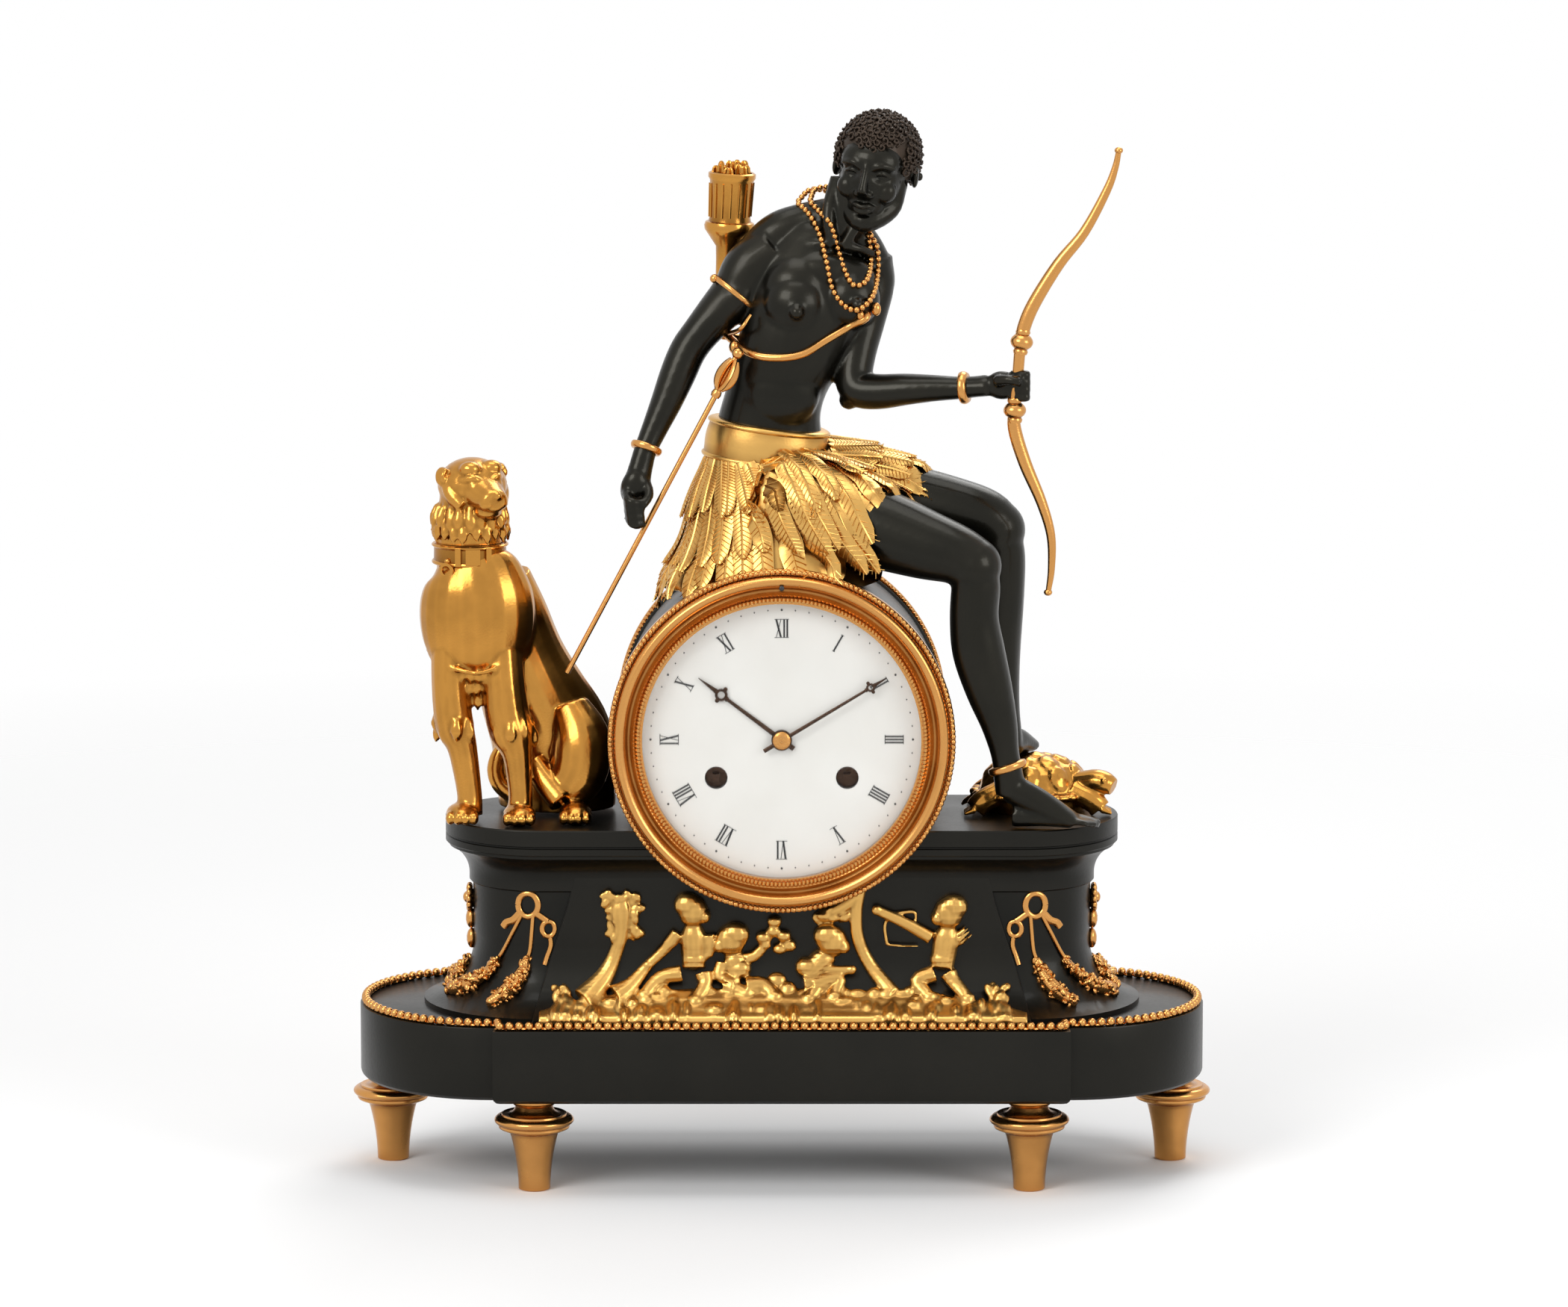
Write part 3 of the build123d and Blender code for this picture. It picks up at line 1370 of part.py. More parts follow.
save(near_leg, "figure_near_leg")
save(far_leg, "figure_far_leg")
save(right_arm, "figure_right_arm")
save(left_arm, "figure_left_arm")

drum_cut = cylinder(0, dial_height, drum_radius + seat_gap, 2 * drum_back, 4 * drum_back)
near_lap_shares = ((0, 0.48), (0.45, 0.42), (0.56, 0.39))
far_lap_shares = ((0, 0.44), (0.5, 0.40), (0.62, 0.37))
near_lap = taper(seat, head_unit, (-0.05, -0.26, 0.55), near_knee, near_lap_shares)
far_lap = taper(seat, head_unit, (0.15, 0.12, 0.55), far_knee, far_lap_shares)
belt = joined(body_form(seat, head_unit, belt_shares, grow_share=2 * band_share),
              less=(hips, near_leg, far_leg))
save(belt, "belt")
save(joined(body_form(seat, head_unit, skirt_shares), near_lap, far_lap,
            less=(drum_cut, hips, near_leg, far_leg, belt)), "feather_skirt")
quiver_cord = joined(body_form(seat, head_unit, cord_shares, grow_share=band_share),
                     less=(torso, left_arm, right_arm))
save(quiver_cord, "quiver_cord")
necklace_shares = ((0.475, -0.018, 2.73, 0.27, 0.225), (0.51, -0.022, 2.80, 0.22, 0.21))
save(joined(body_form(seat, head_unit, necklace_shares), less=(torso, head_form)), "necklace")

def cuff(start_share, end_share, band_shares, *limbs):
    """A band round a limb: its two ends along the limb and its radius, as shares."""
    low, high, radius = band_shares
    ring = taper(seat, head_unit, start_share, end_share,
                 ((low, radius + band_share), (high, radius + band_share)))
    return joined(ring, less=limbs)


armlet_shares = (0.50, 0.62, 0.20)
bracelet_shares = (0.84, 0.96, 0.125)
anklet_shares = (0.85, 0.90, 0.130)
bracelets = joined(
    cuff(right_shoulder, right_elbow, armlet_shares, right_arm, torso),
    cuff(right_elbow, right_wrist, bracelet_shares, right_arm),
    cuff(left_elbow, left_wrist, bracelet_shares, left_arm),
    cuff(near_knee, near_ankle, anklet_shares, near_leg),
)
save(bracelets, "bracelets")

# The quiver hangs close behind her right shoulder and arm
quiver_top = (-0.40, 0.27, 3.30)
quiver_tip = (-0.48, 0.27, 1.80)
quiver_shares = ((0, 0.20), (0.05, 0.21), (0.07, 0.18), (0.72, 0.135), (0.76, 0.155), (0.84, 0.13),
                 (0.94, 0.06), (1, 0.025))
save(joined(taper(seat, head_unit, quiver_top, quiver_tip, quiver_shares),
            less=(torso, quiver_cord, right_arm, bracelets)), "quiver")

# Lioness, placed from the platform and measured in her own height
lioness_seat = (lioness_x, 0, platform_top)
lioness_body_shares = (
    (0.170, 0.060, 0.002, 0.105, 0.130),
    (0.165, 0.060, 0.160, 0.122, 0.145),
    (0.100, 0.050, 0.270, 0.175, 0.135),
    (0.000, 0.020, 0.335, 0.200, 0.125),
    (-0.075, -0.010, 0.475, 0.172, 0.118),
    (-0.105, -0.025, 0.600, 0.152, 0.108),
    (-0.122, -0.035, 0.695, 0.096, 0.088),
    (-0.126, -0.044, 0.830, 0.086, 0.080),
)
lioness_head_shares = (
    (-0.122, -0.050, 0.795, 0.075, 0.075),
    (-0.118, -0.050, 0.860, 0.098, 0.100),
    (-0.114, -0.050, 0.940, 0.098, 0.098),
    (-0.114, -0.050, 0.995, 0.055, 0.060),
)
muzzle_shares = (
    (-0.090, -0.060, 0.890, 0.075, 0.075),
    (-0.030, -0.070, 0.880, 0.058, 0.052),
    (-0.008, -0.072, 0.876, 0.042, 0.036),
)
haunch_shares = (
    (0.165, -0.060, 0.002, 0.080, 0.060),
    (0.165, -0.060, 0.15, 0.095, 0.085),
    (0.155, -0.050, 0.26, 0.085, 0.080),
    (0.135, -0.030, 0.34, 0.060, 0.050),
)
foreleg_shares = ((0, 0.06), (0.5, 0.045), (0.95, 0.036), (1, 0.036))


def paw(x_share, y_share):
    length_share = 0.11
    return body_form(lioness_seat, lioness_height, (
        (x_share, y_share, 0.032, 0.034, 0.030),
        (x_share, y_share - 0.6 * length_share, 0.034, 0.042, 0.032),
        (x_share, y_share - length_share, 0.025, 0.034, 0.023),
    ), "front")


lioness = joined(
    body_form(lioness_seat, lioness_height, lioness_body_shares),
    body_form(lioness_seat, lioness_height, lioness_head_shares),
    body_form(lioness_seat, lioness_height, muzzle_shares, "right"),
    body_form(lioness_seat, lioness_height, haunch_shares),
    taper(lioness_seat, lioness_height, (-0.13, -0.06, 0.55), (-0.13, -0.08, 0.01), foreleg_shares),
    taper(lioness_seat, lioness_height, (-0.02, -0.08, 0.50), (0.02, -0.12, 0.01), foreleg_shares),
    paw(-0.13, -0.06),
    paw(0.02, -0.10),
    paw(0.19, -0.08),
)
save(lioness, "lioness")
collar_shares = ((-0.121, -0.036, 0.715, 0.110, 0.102), (-0.124, -0.040, 0.765, 0.104, 0.098))
save(joined(body_form(lioness_seat, lioness_height, collar_shares), less=(lioness,)), "lioness_collar")

# Tortoise, measured in its own length
tortoise_seat = (tortoise_x, tortoise_y, platform_top)
shell_shares = (
    (0.00, 0.00, 0.06, 0.37, 0.27),
    (0.00, 0.00, 0.16, 0.40, 0.29),
    (-0.01, 0.00, 0.28, 0.33, 0.24),
    (-0.02, 0.00, 0.36, 0.19, 0.15),
    (-0.02, 0.00, 0.385, 0.08, 0.06),
)
tortoise_head_shares = (
    (0.30, -0.10, 0.20, 0.09, 0.085),
    (0.42, -0.12, 0.23, 0.085, 0.080),
    (0.50, -0.13, 0.24, 0.075, 0.070),
    (0.54, -0.13, 0.235, 0.04, 0.04),
)


def claw(x_share, y_share):
    reach_share = 0.62
    return taper(tortoise_seat, tortoise_length, (x_share * reach_share, y_share * reach_share, 0.22),
                 (x_share, y_share, 0.004), ((0, 0.09), (0.7, 0.075), (1, 0.06)))


with BuildPart() as floor_cut:
    with BuildSketch(Plane.XY.offset(platform_top)):
        Rectangle(plinth_width, plinth_width)
    extrude(amount=-platform_radius)
save(joined(
    body_form(tortoise_seat, tortoise_length, shell_shares),
    body_form(tortoise_seat, tortoise_length, tortoise_head_shares, "right"),
    claw(0.36, -0.26), claw(-0.34, -0.26), claw(0.30, 0.26), claw(-0.34, 0.26),
    less=(floor_cut.part, far_leg, near_leg),
), "tortoise")
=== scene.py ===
# %% [markdown]
# # A figural mantel clock
# The clock is cast bronze in two finishes: dark patina for the figure and the base, and
# gilding for the animals, the dress and the mounts. The construction comes packed as a
# frame. Each cell below makes one piece of it fit to be seen, in the same frame.

# %% Frame and measures
import random
from math import cos, pi, radians, sin, sqrt

import bmesh
import bpy
import numpy as np
from mathutils import Euler, Matrix, Vector
from mathutils.bvhtree import BVHTree


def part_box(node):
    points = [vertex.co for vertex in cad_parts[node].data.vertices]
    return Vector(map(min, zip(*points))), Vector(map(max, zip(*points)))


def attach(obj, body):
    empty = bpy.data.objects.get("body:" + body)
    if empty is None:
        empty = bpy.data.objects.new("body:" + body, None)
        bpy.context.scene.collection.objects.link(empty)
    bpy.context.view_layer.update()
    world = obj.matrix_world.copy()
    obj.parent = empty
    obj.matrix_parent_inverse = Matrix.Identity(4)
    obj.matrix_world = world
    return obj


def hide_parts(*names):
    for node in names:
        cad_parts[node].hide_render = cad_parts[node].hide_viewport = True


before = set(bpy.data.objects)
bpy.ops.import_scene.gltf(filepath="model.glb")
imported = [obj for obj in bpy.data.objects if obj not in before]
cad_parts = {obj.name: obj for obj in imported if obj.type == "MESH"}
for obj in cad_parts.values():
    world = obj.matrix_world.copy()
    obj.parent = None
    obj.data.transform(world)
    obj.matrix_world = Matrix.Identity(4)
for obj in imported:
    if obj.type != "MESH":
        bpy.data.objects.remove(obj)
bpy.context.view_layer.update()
scene = bpy.context.scene
MM = 0.001
dice = random.Random(7)


def low(node):
    """Lowest corner of a node of the frame, in millimetres."""
    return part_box(node)[0] / MM


def high(node):
    """Highest corner of a node of the frame, in millimetres."""
    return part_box(node)[1] / MM


print("frame nodes:", len(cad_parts))

# %% [markdown]
# ## Shader maths
# A finish is a small network of nodes. Written by hand it is long, so one class wraps a
# socket, and adding or multiplying two wrapped sockets adds the Math node. Every other
# node comes from one method, which sets the node's own settings first and then its inputs.

# %% Shader helpers


class Wire:
    """One output socket. Signs between wires and numbers add Math nodes."""

    def __init__(self, network, socket):
        self.network = network
        self.socket = socket

    def _joined(self, operation, first, second):
        return self.network.node("ShaderNodeMath", {"operation": operation}, {0: first, 1: second})

    def __add__(self, other):
        return self._joined("ADD", self, other)

    def __radd__(self, other):
        return self._joined("ADD", other, self)

    def __sub__(self, other):
        return self._joined("SUBTRACT", self, other)

    def __rsub__(self, other):
        return self._joined("SUBTRACT", other, self)

    def __mul__(self, other):
        return self._joined("MULTIPLY", self, other)

    def __rmul__(self, other):
        return self._joined("MULTIPLY", other, self)


class Network:
    """A tree of nodes, with a method that adds any node to it."""

    def __init__(self, tree):
        self.tree = tree

    def node(self, kind, settings=None, inputs=None, output=0):
        """Adds a node, its own settings first, and returns one of its outputs."""
        node = self.tree.nodes.new(kind)
        for key, value in (settings or {}).items():
            setattr(node, key, value)
        for key, value in (inputs or {}).items():
            if isinstance(value, Wire):
                self.tree.links.new(value.socket, node.inputs[key])
            else:
                node.inputs[key].default_value = value
        return Wire(self, node.outputs[output])


class Finish(Network):
    """A material with one Principled shader."""

    def __init__(self, name, **constants):
        self.material = bpy.data.materials.new(name)
        self.material.use_nodes = True
        super().__init__(self.material.node_tree)
        self.shader = self.tree.nodes["Principled BSDF"]
        for socket_name, value in constants.items():
            self.shader.inputs[socket_name.replace("_", " ")].default_value = value

    def places(self):
        return self.node("ShaderNodeTexCoord", output="Object")

    def noise(self, scale, detail=3.0, stretch=(1, 1, 1)):
        at = self.node("ShaderNodeMapping", {}, {"Vector": self.places(), "Scale": stretch})
        return self.node("ShaderNodeTexNoise", {}, {"Vector": at, "Scale": scale, "Detail": detail})

    def between(self, share, first, second):
        """Blends two colours by a share from 0 to 1."""
        wires = {"Factor": share, 6: first, 7: second}
        return self.node("ShaderNodeMix", {"data_type": "RGBA"}, wires, output=2)

    def ramp(self, value, start, end):
        """A share that rises from 0 to 1 as a value goes from start to end."""
        wires = {"Value": value, "From Min": start, "From Max": end}
        return self.node("ShaderNodeMapRange", {"clamp": True}, wires)

    def feed(self, socket_name, wire):
        self.tree.links.new(wire.socket, self.shader.inputs[socket_name])

    def bump(self, height, strength, distance):
        wires = {"Height": height, "Strength": strength, "Distance": distance}
        self.feed("Normal", self.node("ShaderNodeBump", {}, wires))


print("shader helpers ready")

# %% [markdown]
# ## The two bronzes
# Patina is a thin dark skin over metal. It is nearly black, a little green in the hollows
# and a little brown where hands have rubbed it, with a soft waxy sheen. Gilding is a thin
# layer of gold: matte where it was left from the fire and bright where it was burnished.
# Its colour is painted darker and browner in the hollows, as painted shade, and it is
# rougher there, where the burnisher didn't reach. Pointiness finds the hollows.

# %% Patina and gilding


def ridges(finish):
    """0 in the hollows of a form and 1 on its ridges."""
    return finish.ramp(finish.node("ShaderNodeNewGeometry", output="Pointiness"), 0.42, 0.53)


def patina(name, dark, rubbed, rough):
    """Dark bronze, browner on the ridges, with a thin coat of wax."""
    finish = Finish(name, Metallic=0.85, Coat_Weight=0.12, Coat_Roughness=0.14)
    broad = finish.noise(38, 4)
    fine = finish.noise(620, 3)
    share = finish.ramp(broad * 0.55 + ridges(finish) * 0.6, 0.35, 0.95)
    finish.feed("Base Color", finish.between(share, dark, rubbed))
    finish.feed("Roughness", finish.ramp(broad * 0.7 + fine * 0.3, 0.2, 0.8) * 0.16 + rough)
    finish.bump(fine, 0.10, 0.0004)
    return finish.material


def gilding(name, hollow, gold, rough):
    """Gold over bronze, painted darker in the hollows as painted shade, and rougher there."""
    finish = Finish(name, Metallic=1.0)
    broad = finish.noise(55, 4)
    fine = finish.noise(900, 3)
    ridge = ridges(finish)
    share = finish.ramp(ridge * 0.75 + broad * 0.45, 0.25, 0.85)
    # Base colour: the hollow colour is painted shade in the hollows, and the gold is on the ridges.
    finish.feed("Base Color", finish.between(share, hollow, gold))
    finish.feed("Roughness", rough + 0.18 * broad - 0.10 * ridge)
    finish.bump(fine, 0.10, 0.0004)
    return finish.material


bronze = patina("dark_patina", (0.006, 0.0065, 0.0045, 1), (0.018, 0.016, 0.011, 1), 0.24)
base_bronze = patina("base_patina", (0.006, 0.006, 0.0045, 1), (0.013, 0.012, 0.009, 1), 0.32)
hair_bronze = patina("hair_patina", (0.012, 0.010, 0.008, 1), (0.045, 0.030, 0.020, 1), 0.42)
# The first colour of each gilding is the painted shade of its hollows.
matte_gilt = gilding("matte_gilding", (0.15, 0.058, 0.010, 1), (0.64, 0.37, 0.105, 1), 0.30)
bright_gilt = gilding("burnished_gilding", (0.09, 0.027, 0.004, 1), (0.53, 0.25, 0.050, 1), 0.20)
copper_gilt = gilding("coppery_gilding", (0.13, 0.040, 0.008, 1), (0.60, 0.29, 0.085, 1), 0.24)
print("bronzes:", bronze.name, base_bronze.name, matte_gilt.name, bright_gilt.name)

# %% [markdown]
# ## Dial and movement finishes
# Enamel is glass fused on copper: warm white, glossy, and very slightly uneven. The wheels
# are brushed brass and the arbors polished steel. The hands are blued almost to black.

# %% Enamel, glass, brass and steel
enamel = Finish("white_enamel", Roughness=0.12, Coat_Weight=0.3)
enamel_share = enamel.ramp(enamel.noise(30, 2), 0.3, 0.7)
enamel.feed("Base Color", enamel.between(enamel_share, (0.80, 0.785, 0.74, 1),
                                         (0.85, 0.84, 0.80, 1)))
enamel.bump(enamel.noise(90, 1), 0.03, 0.0006)

# Black for the printed numerals; the same black is painted shade inside the winding holes and the
# catch hole.
ink_and_hole_shade = Finish("black_print_and_hole_shade", Roughness=0.35)
ink_share = ink_and_hole_shade.ramp(ink_and_hole_shade.noise(400, 2), 0.3, 0.7)
ink_and_hole_shade.feed("Base Color", ink_and_hole_shade.between(ink_share, (0.012, 0.012, 0.014, 1), (0.030, 0.028, 0.028, 1)))

glass = Finish("crystal", Base_Color=(0.97, 0.99, 0.98, 1), Roughness=0.02, Transmission_Weight=1.0,
               IOR=1.45, Alpha=0.12)


def brushed(name, dark, light, rough):
    """Metal with fine lines, as a brush or a file leaves it."""
    finish = Finish(name, Metallic=1.0)
    lines = finish.noise(260, 3, stretch=(1, 1, 9))
    share = finish.ramp(lines, 0.3, 0.7)
    finish.feed("Base Color", finish.between(share, dark, light))
    finish.feed("Roughness", rough + 0.15 * lines)
    finish.bump(lines, 0.05, 0.0003)
    return finish.material


clock_brass = brushed("clock_brass", (0.50, 0.34, 0.13, 1), (0.74, 0.55, 0.25, 1), 0.26)
bell_metal = brushed("bell_metal", (0.55, 0.42, 0.22, 1), (0.76, 0.64, 0.40, 1), 0.20)
steel = brushed("polished_steel", (0.42, 0.43, 0.45, 1), (0.62, 0.63, 0.66, 1), 0.20)
blued = brushed("blued_steel", (0.035, 0.022, 0.016, 1), (0.090, 0.050, 0.032, 1), 0.28)
print("dial finishes ready")

# %% [markdown]
# ## Making pieces
# Every piece is worked out in millimetres. At the end it is scaled to metres once, its
# faces are turned outwards, it is hung under the body of the clock it rides on, and the
# nodes of the frame that it stands for are hidden. The object itself stays at the origin, unturned.

# %% Piece helpers


def mesh_of(form, name="form"):
    """Turns a form into a mesh and frees the form."""
    mesh = bpy.data.meshes.new(name)
    form.to_mesh(mesh)
    form.free()
    return mesh


def form_of(mesh):
    """A mesh as a form that the operators can work on."""
    form = bmesh.new()
    form.from_mesh(mesh)
    return form


def linked(name, data):
    """A new object in the scene."""
    item = bpy.data.objects.new(name, data)
    scene.collection.objects.link(item)
    return item


def closed(form, gap=0.001):
    """Joins doubled points nearer than a gap and turns the faces outwards."""
    bmesh.ops.remove_doubles(form, verts=form.verts, dist=gap)
    bmesh.ops.recalc_face_normals(form, faces=form.faces)
    return form


def piece(name, shape, material, body="case", stands_for=(), crease=40.0):
    """A finished object from a form or mesh in millimetres. Angles over the crease stay sharp."""
    is_form = isinstance(shape, bmesh.types.BMesh)
    mesh = mesh_of(closed(shape, 0.0008), name) if is_form else shape
    mesh.name = name
    mesh.transform(Matrix.Scale(MM, 4))
    mesh.shade_smooth()
    mesh.set_sharp_from_angle(angle=radians(crease))
    mesh.materials.clear()
    mesh.materials.append(material)
    item = linked(name, mesh)
    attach(item, body)
    if stands_for:
        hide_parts(*stands_for)
    print(name, len(mesh.polygons), "faces")


def applied(form, *changes):
    """Runs modifiers on a form and returns the resulting mesh, still in millimetres."""
    blank = linked("blank", mesh_of(form))
    for kind, settings in changes:
        modifier = blank.modifiers.new(kind, kind)
        for key, value in settings.items():
            setattr(modifier, key, value)
    seen = blank.evaluated_get(bpy.context.evaluated_depsgraph_get())
    result = bpy.data.meshes.new_from_object(seen)
    bpy.data.objects.remove(blank)
    return result


def cast(form, grain, rounds):
    """Melts overlapping forms into one skin, as wax is worked before it is cast."""
    skin = ("REMESH", {"mode": "VOXEL", "voxel_size": grain})
    soften = ("SMOOTH", {"factor": 0.5, "iterations": rounds})
    return applied(form, skin, soften)


def drilled(form, tool):
    """Takes one closed form out of another."""
    cutter = linked("cutter", mesh_of(closed(tool)))
    change = {"operation": "DIFFERENCE", "object": cutter, "solver": "EXACT"}
    cut = applied(closed(form), ("BOOLEAN", change))
    bpy.data.objects.remove(cutter)
    return cut


def trimmed(form, place, normal):
    """Cuts off what lies beyond a plane, on the side that its normal points to."""
    parts = form.verts[:] + form.edges[:] + form.faces[:]
    bmesh.ops.bisect_plane(form, geom=parts, plane_co=place, plane_no=normal, clear_outer=True)


def poured(form, part, placement=None):
    """Adds a small form to a large one, placed by a matrix, and frees the small one."""
    mesh = mesh_of(part)
    if placement:
        mesh.transform(placement)
    form.from_mesh(mesh)
    bpy.data.meshes.remove(mesh)


def turned(form, profile, centre, axis, steps=96, across=(1, 0, 0)):
    """Spins a profile of (radius, height) points about an axis through a centre."""
    axis = Vector(axis)
    across = Vector(across)
    part = bmesh.new()
    corners = [part.verts.new(Vector(centre) + across * radius + axis * height)
               for radius, height in profile]
    edges = [part.edges.new(pair) for pair in zip(corners, corners[1:])]
    bmesh.ops.spin(part, geom=corners + edges, cent=centre, axis=axis, dvec=(0, 0, 0),
                   angle=2 * pi, steps=steps, use_merge=True, use_duplicate=False)
    poured(form, part)


def bow_line(start, end, bulge, steps=6):
    """Points of an arc from start to end, without the start. A positive bulge is to the left."""
    start = Vector(start)
    chord = Vector(end) - start
    side = Vector((-chord.y, chord.x)) * bulge
    shares = [step / steps for step in range(1, steps + 1)]
    return [tuple(start + chord * share + side * (4 * share * (1 - share))) for share in shares]


def smooth_line(points, per_span=6):
    """A smooth line through given points, in two or three dimensions or more."""
    rows = [np.array(point, float) for point in points]
    rows = [2 * rows[0] - rows[1]] + rows + [2 * rows[-1] - rows[-2]]
    line = []
    for a, b, c, d in zip(rows, rows[1:], rows[2:], rows[3:]):
        for step in range(per_span):
            t = step / per_span
            line.append(0.5 * (2 * b + (c - a) * t + (2 * a - 5 * b + 4 * c - d) * t**2
                               + (3 * b - a - 3 * c + d) * t**3))
    line.append(rows[-2])
    return line


ball_kinds = {}


def ball(form, centre, radii, turn=(0, 0, 0), sides=16):
    """An ellipsoid with three radii, turned by angles in degrees."""
    radii = radii if hasattr(radii, "__len__") else (radii, radii, radii)
    twist = Euler([radians(angle) for angle in turn]).to_matrix().to_4x4()
    place = Matrix.Translation(Vector(centre)) @ twist @ Matrix.Diagonal((*radii, 1))
    if sides not in ball_kinds:
        part = bmesh.new()
        bmesh.ops.create_uvsphere(part, u_segments=sides, v_segments=max(4, sides // 2 + 1),
                                  radius=1)
        ball_kinds[sides] = mesh_of(part)
    placed = ball_kinds[sides].copy()
    placed.transform(place)
    form.from_mesh(placed)
    bpy.data.meshes.remove(placed)


def strand(form, stations, ups, sides=8, per_span=4):
    """A tube through rows of x, y, z, half width and half depth, with an up direction at each."""
    line = smooth_line([list(station) + list(up) for station, up in zip(stations, ups)], per_span)
    part = bmesh.new()
    loops = []
    for number, row in enumerate(line):
        before, after = line[max(0, number - 1)], line[min(len(line) - 1, number + 1)]
        along = Vector(after[:3] - before[:3]).normalized()
        side = along.cross(Vector(row[5:8]))
        side = side.normalized() if side.length > 1e-4 else Vector((1, 0, 0))
        depth = side.cross(along).normalized()
        turn = Matrix((side, depth, along)).transposed().to_4x4()
        place = Matrix.Translation(Vector(row[:3])) @ turn @ Matrix.Diagonal((row[3], row[4], 1, 1))
        made = bmesh.ops.create_circle(part, segments=sides, radius=1, cap_ends=False, matrix=place)
        loops.append(list({edge for vert in made["verts"] for edge in vert.link_edges}))
    for near, far in zip(loops, loops[1:]):
        bmesh.ops.bridge_loops(part, edges=near + far)
    bmesh.ops.holes_fill(part, edges=loops[0] + loops[-1], sides=0)
    poured(form, part)


def limb(form, stations, sides=14, per_span=5, up=(0, -1, 0)):
    """A strand with the same up direction all along."""
    strand(form, stations, [up] * len(stations), sides, per_span)


print("piece helpers ready")

# %% [markdown]
# ## Floor, light and camera
# The photograph was taken on a white sweep under large soft lamps, from a little above the
# base. The world is white to the camera and to reflections, and the floor fades into it
# towards its rim, so no horizon shows while the shadow under the clock stays.

# %% Stage
world = bpy.data.worlds.new("studio")
scene.world = world
world.use_nodes = True
studio = Network(world.node_tree)
sky = studio.tree.nodes["Background"].inputs
sky["Color"].default_value = (1, 1, 1, 1)
rays = studio.tree.nodes.new("ShaderNodeLightPath").outputs
to_camera, glossy, through = [Wire(studio, rays[f"Is {kind} Ray"])
                              for kind in ("Camera", "Glossy", "Transmission")]
lit_level, seen_level = 0.42, 1.0
levels = {"Value": to_camera + (glossy + through), "To Min": lit_level, "To Max": seen_level}
level = studio.node("ShaderNodeMapRange", {}, levels)
studio.tree.links.new(level.socket, sky["Strength"])

floor_form = bmesh.new()
floor_reach = 1.6
bmesh.ops.create_circle(floor_form, segments=96, radius=floor_reach, cap_ends=True)
floor = linked("floor", mesh_of(floor_form, "floor"))
paper = Finish("white_sweep", Base_Color=(0.93, 0.93, 0.93, 1), Roughness=0.9)
from_middle = paper.node("ShaderNodeVectorMath", {"operation": "LENGTH"}, {0: paper.places()},
                         output=1)
clear = paper.node("ShaderNodeBsdfTransparent")
fade = paper.ramp(from_middle, 0.45, 1.35)
shades = {0: fade, 1: Wire(paper, paper.shader.outputs[0]), 2: clear}
faded = paper.node("ShaderNodeMixShader", {}, shades)
paper.tree.links.new(faded.socket, paper.tree.nodes["Material Output"].inputs["Surface"])
floor.data.materials.append(paper.material)


def lamp(name, place, aim, size, power):
    """A square soft lamp, in metres, that faces a point."""
    data = bpy.data.lights.new(name, "AREA")
    data.size = size
    data.energy = power
    light = linked(name, data)
    light.location = place
    light.rotation_euler = (Vector(aim) - Vector(place)).to_track_quat("-Z", "Y").to_euler()


middle = (0, 0, 0.24)
lamp("key", (-1, -1.3, 1.35), middle, 0.9, 17)
lamp("fill", (1.35, -1.1, 0.85), middle, 0.8, 9)
lamp("rim", (0.5, 1.2, 1.5), middle, 0.9, 10)
lamp("top", (0, -0.1, 1.9), middle, 1, 9)

camera_distance = 3.6
camera_rise = 9.5
photo_width_at_clock = 0.693
sensor = 36.0
camera_data = bpy.data.cameras.new("camera")
camera_data.sensor_width = sensor
camera_data.lens = sensor * camera_distance / photo_width_at_clock
camera = linked("camera", camera_data)
camera_target = Vector((0.001, 0, 0.231))
camera_back = Vector((0, -cos(radians(camera_rise)), sin(radians(camera_rise))))
camera.location = camera_target + camera_back * camera_distance
camera.rotation_euler = (-camera_back).to_track_quat("-Z", "Y").to_euler()
scene.camera = camera
scene.view_settings.view_transform = "Standard"
print("stage ready, lens", round(camera_data.lens, 1), "mm")

# %% [markdown]
# ## The feet
# Each foot is one piece of turned brass. A turner cuts it with a few tools: a long taper, a
# fillet, a bold ring with a groove, a hollow and a ball under the plinth. A spin of the
# same profile about the foot's own axis makes it. A plain stud holds it in the hollow plinth.

# %% Feet
foot_top = low("plinth").z
foot_places = [(side * x, y) for side in (-1, 1) for x, y in ((109, -48), (174, 12))]
foot_profile = [(0, 0), (6.4, 0), (7, 0.5)]
foot_profile += bow_line((7, 0.5), (10.2, 24), 0.03)
foot_profile += [(10.6, 25.2), (11, 25.8), (14.6, 27.4)]
foot_profile += bow_line((14.6, 27.4), (15.6, 29.2), -0.3, 3)
foot_profile += bow_line((16, 29.4), (16, 33.2), -0.42, 7)
foot_profile += [(14.4, 33.4), (14.2, 34.2)]
foot_profile += bow_line((13.8, 34.2), (8.2, 37.6), 0.25, 6)
foot_profile += bow_line((8.4, 37.8), (9, foot_top), -0.30, 6)
foot_profile += [(0, foot_top)]
stud_radius, stud_top = 8.5, foot_top + 29.2
stud_profile = [(0, foot_top), (stud_radius, foot_top), (stud_radius, stud_top), (0, stud_top)]
feet = bmesh.new()
for x, y in foot_places:
    turned(feet, stud_profile, (x, y, 0), (0, 0, 1), steps=32)
    turned(feet, foot_profile, (x, y, 0), (0, 0, 1), steps=64)
piece("turned_feet", feet, copper_gilt, stands_for=["feet"], crease=32)

# %% [markdown]
# ## The plinth and its beads
# The plinth is a long casting with round ends and a middle that stands a little forward.
# Its plan is drawn once as a loop of points. The same loop, drawn in, carries the beads:
# a chased row of small balls that would be cut from one strip of wire.

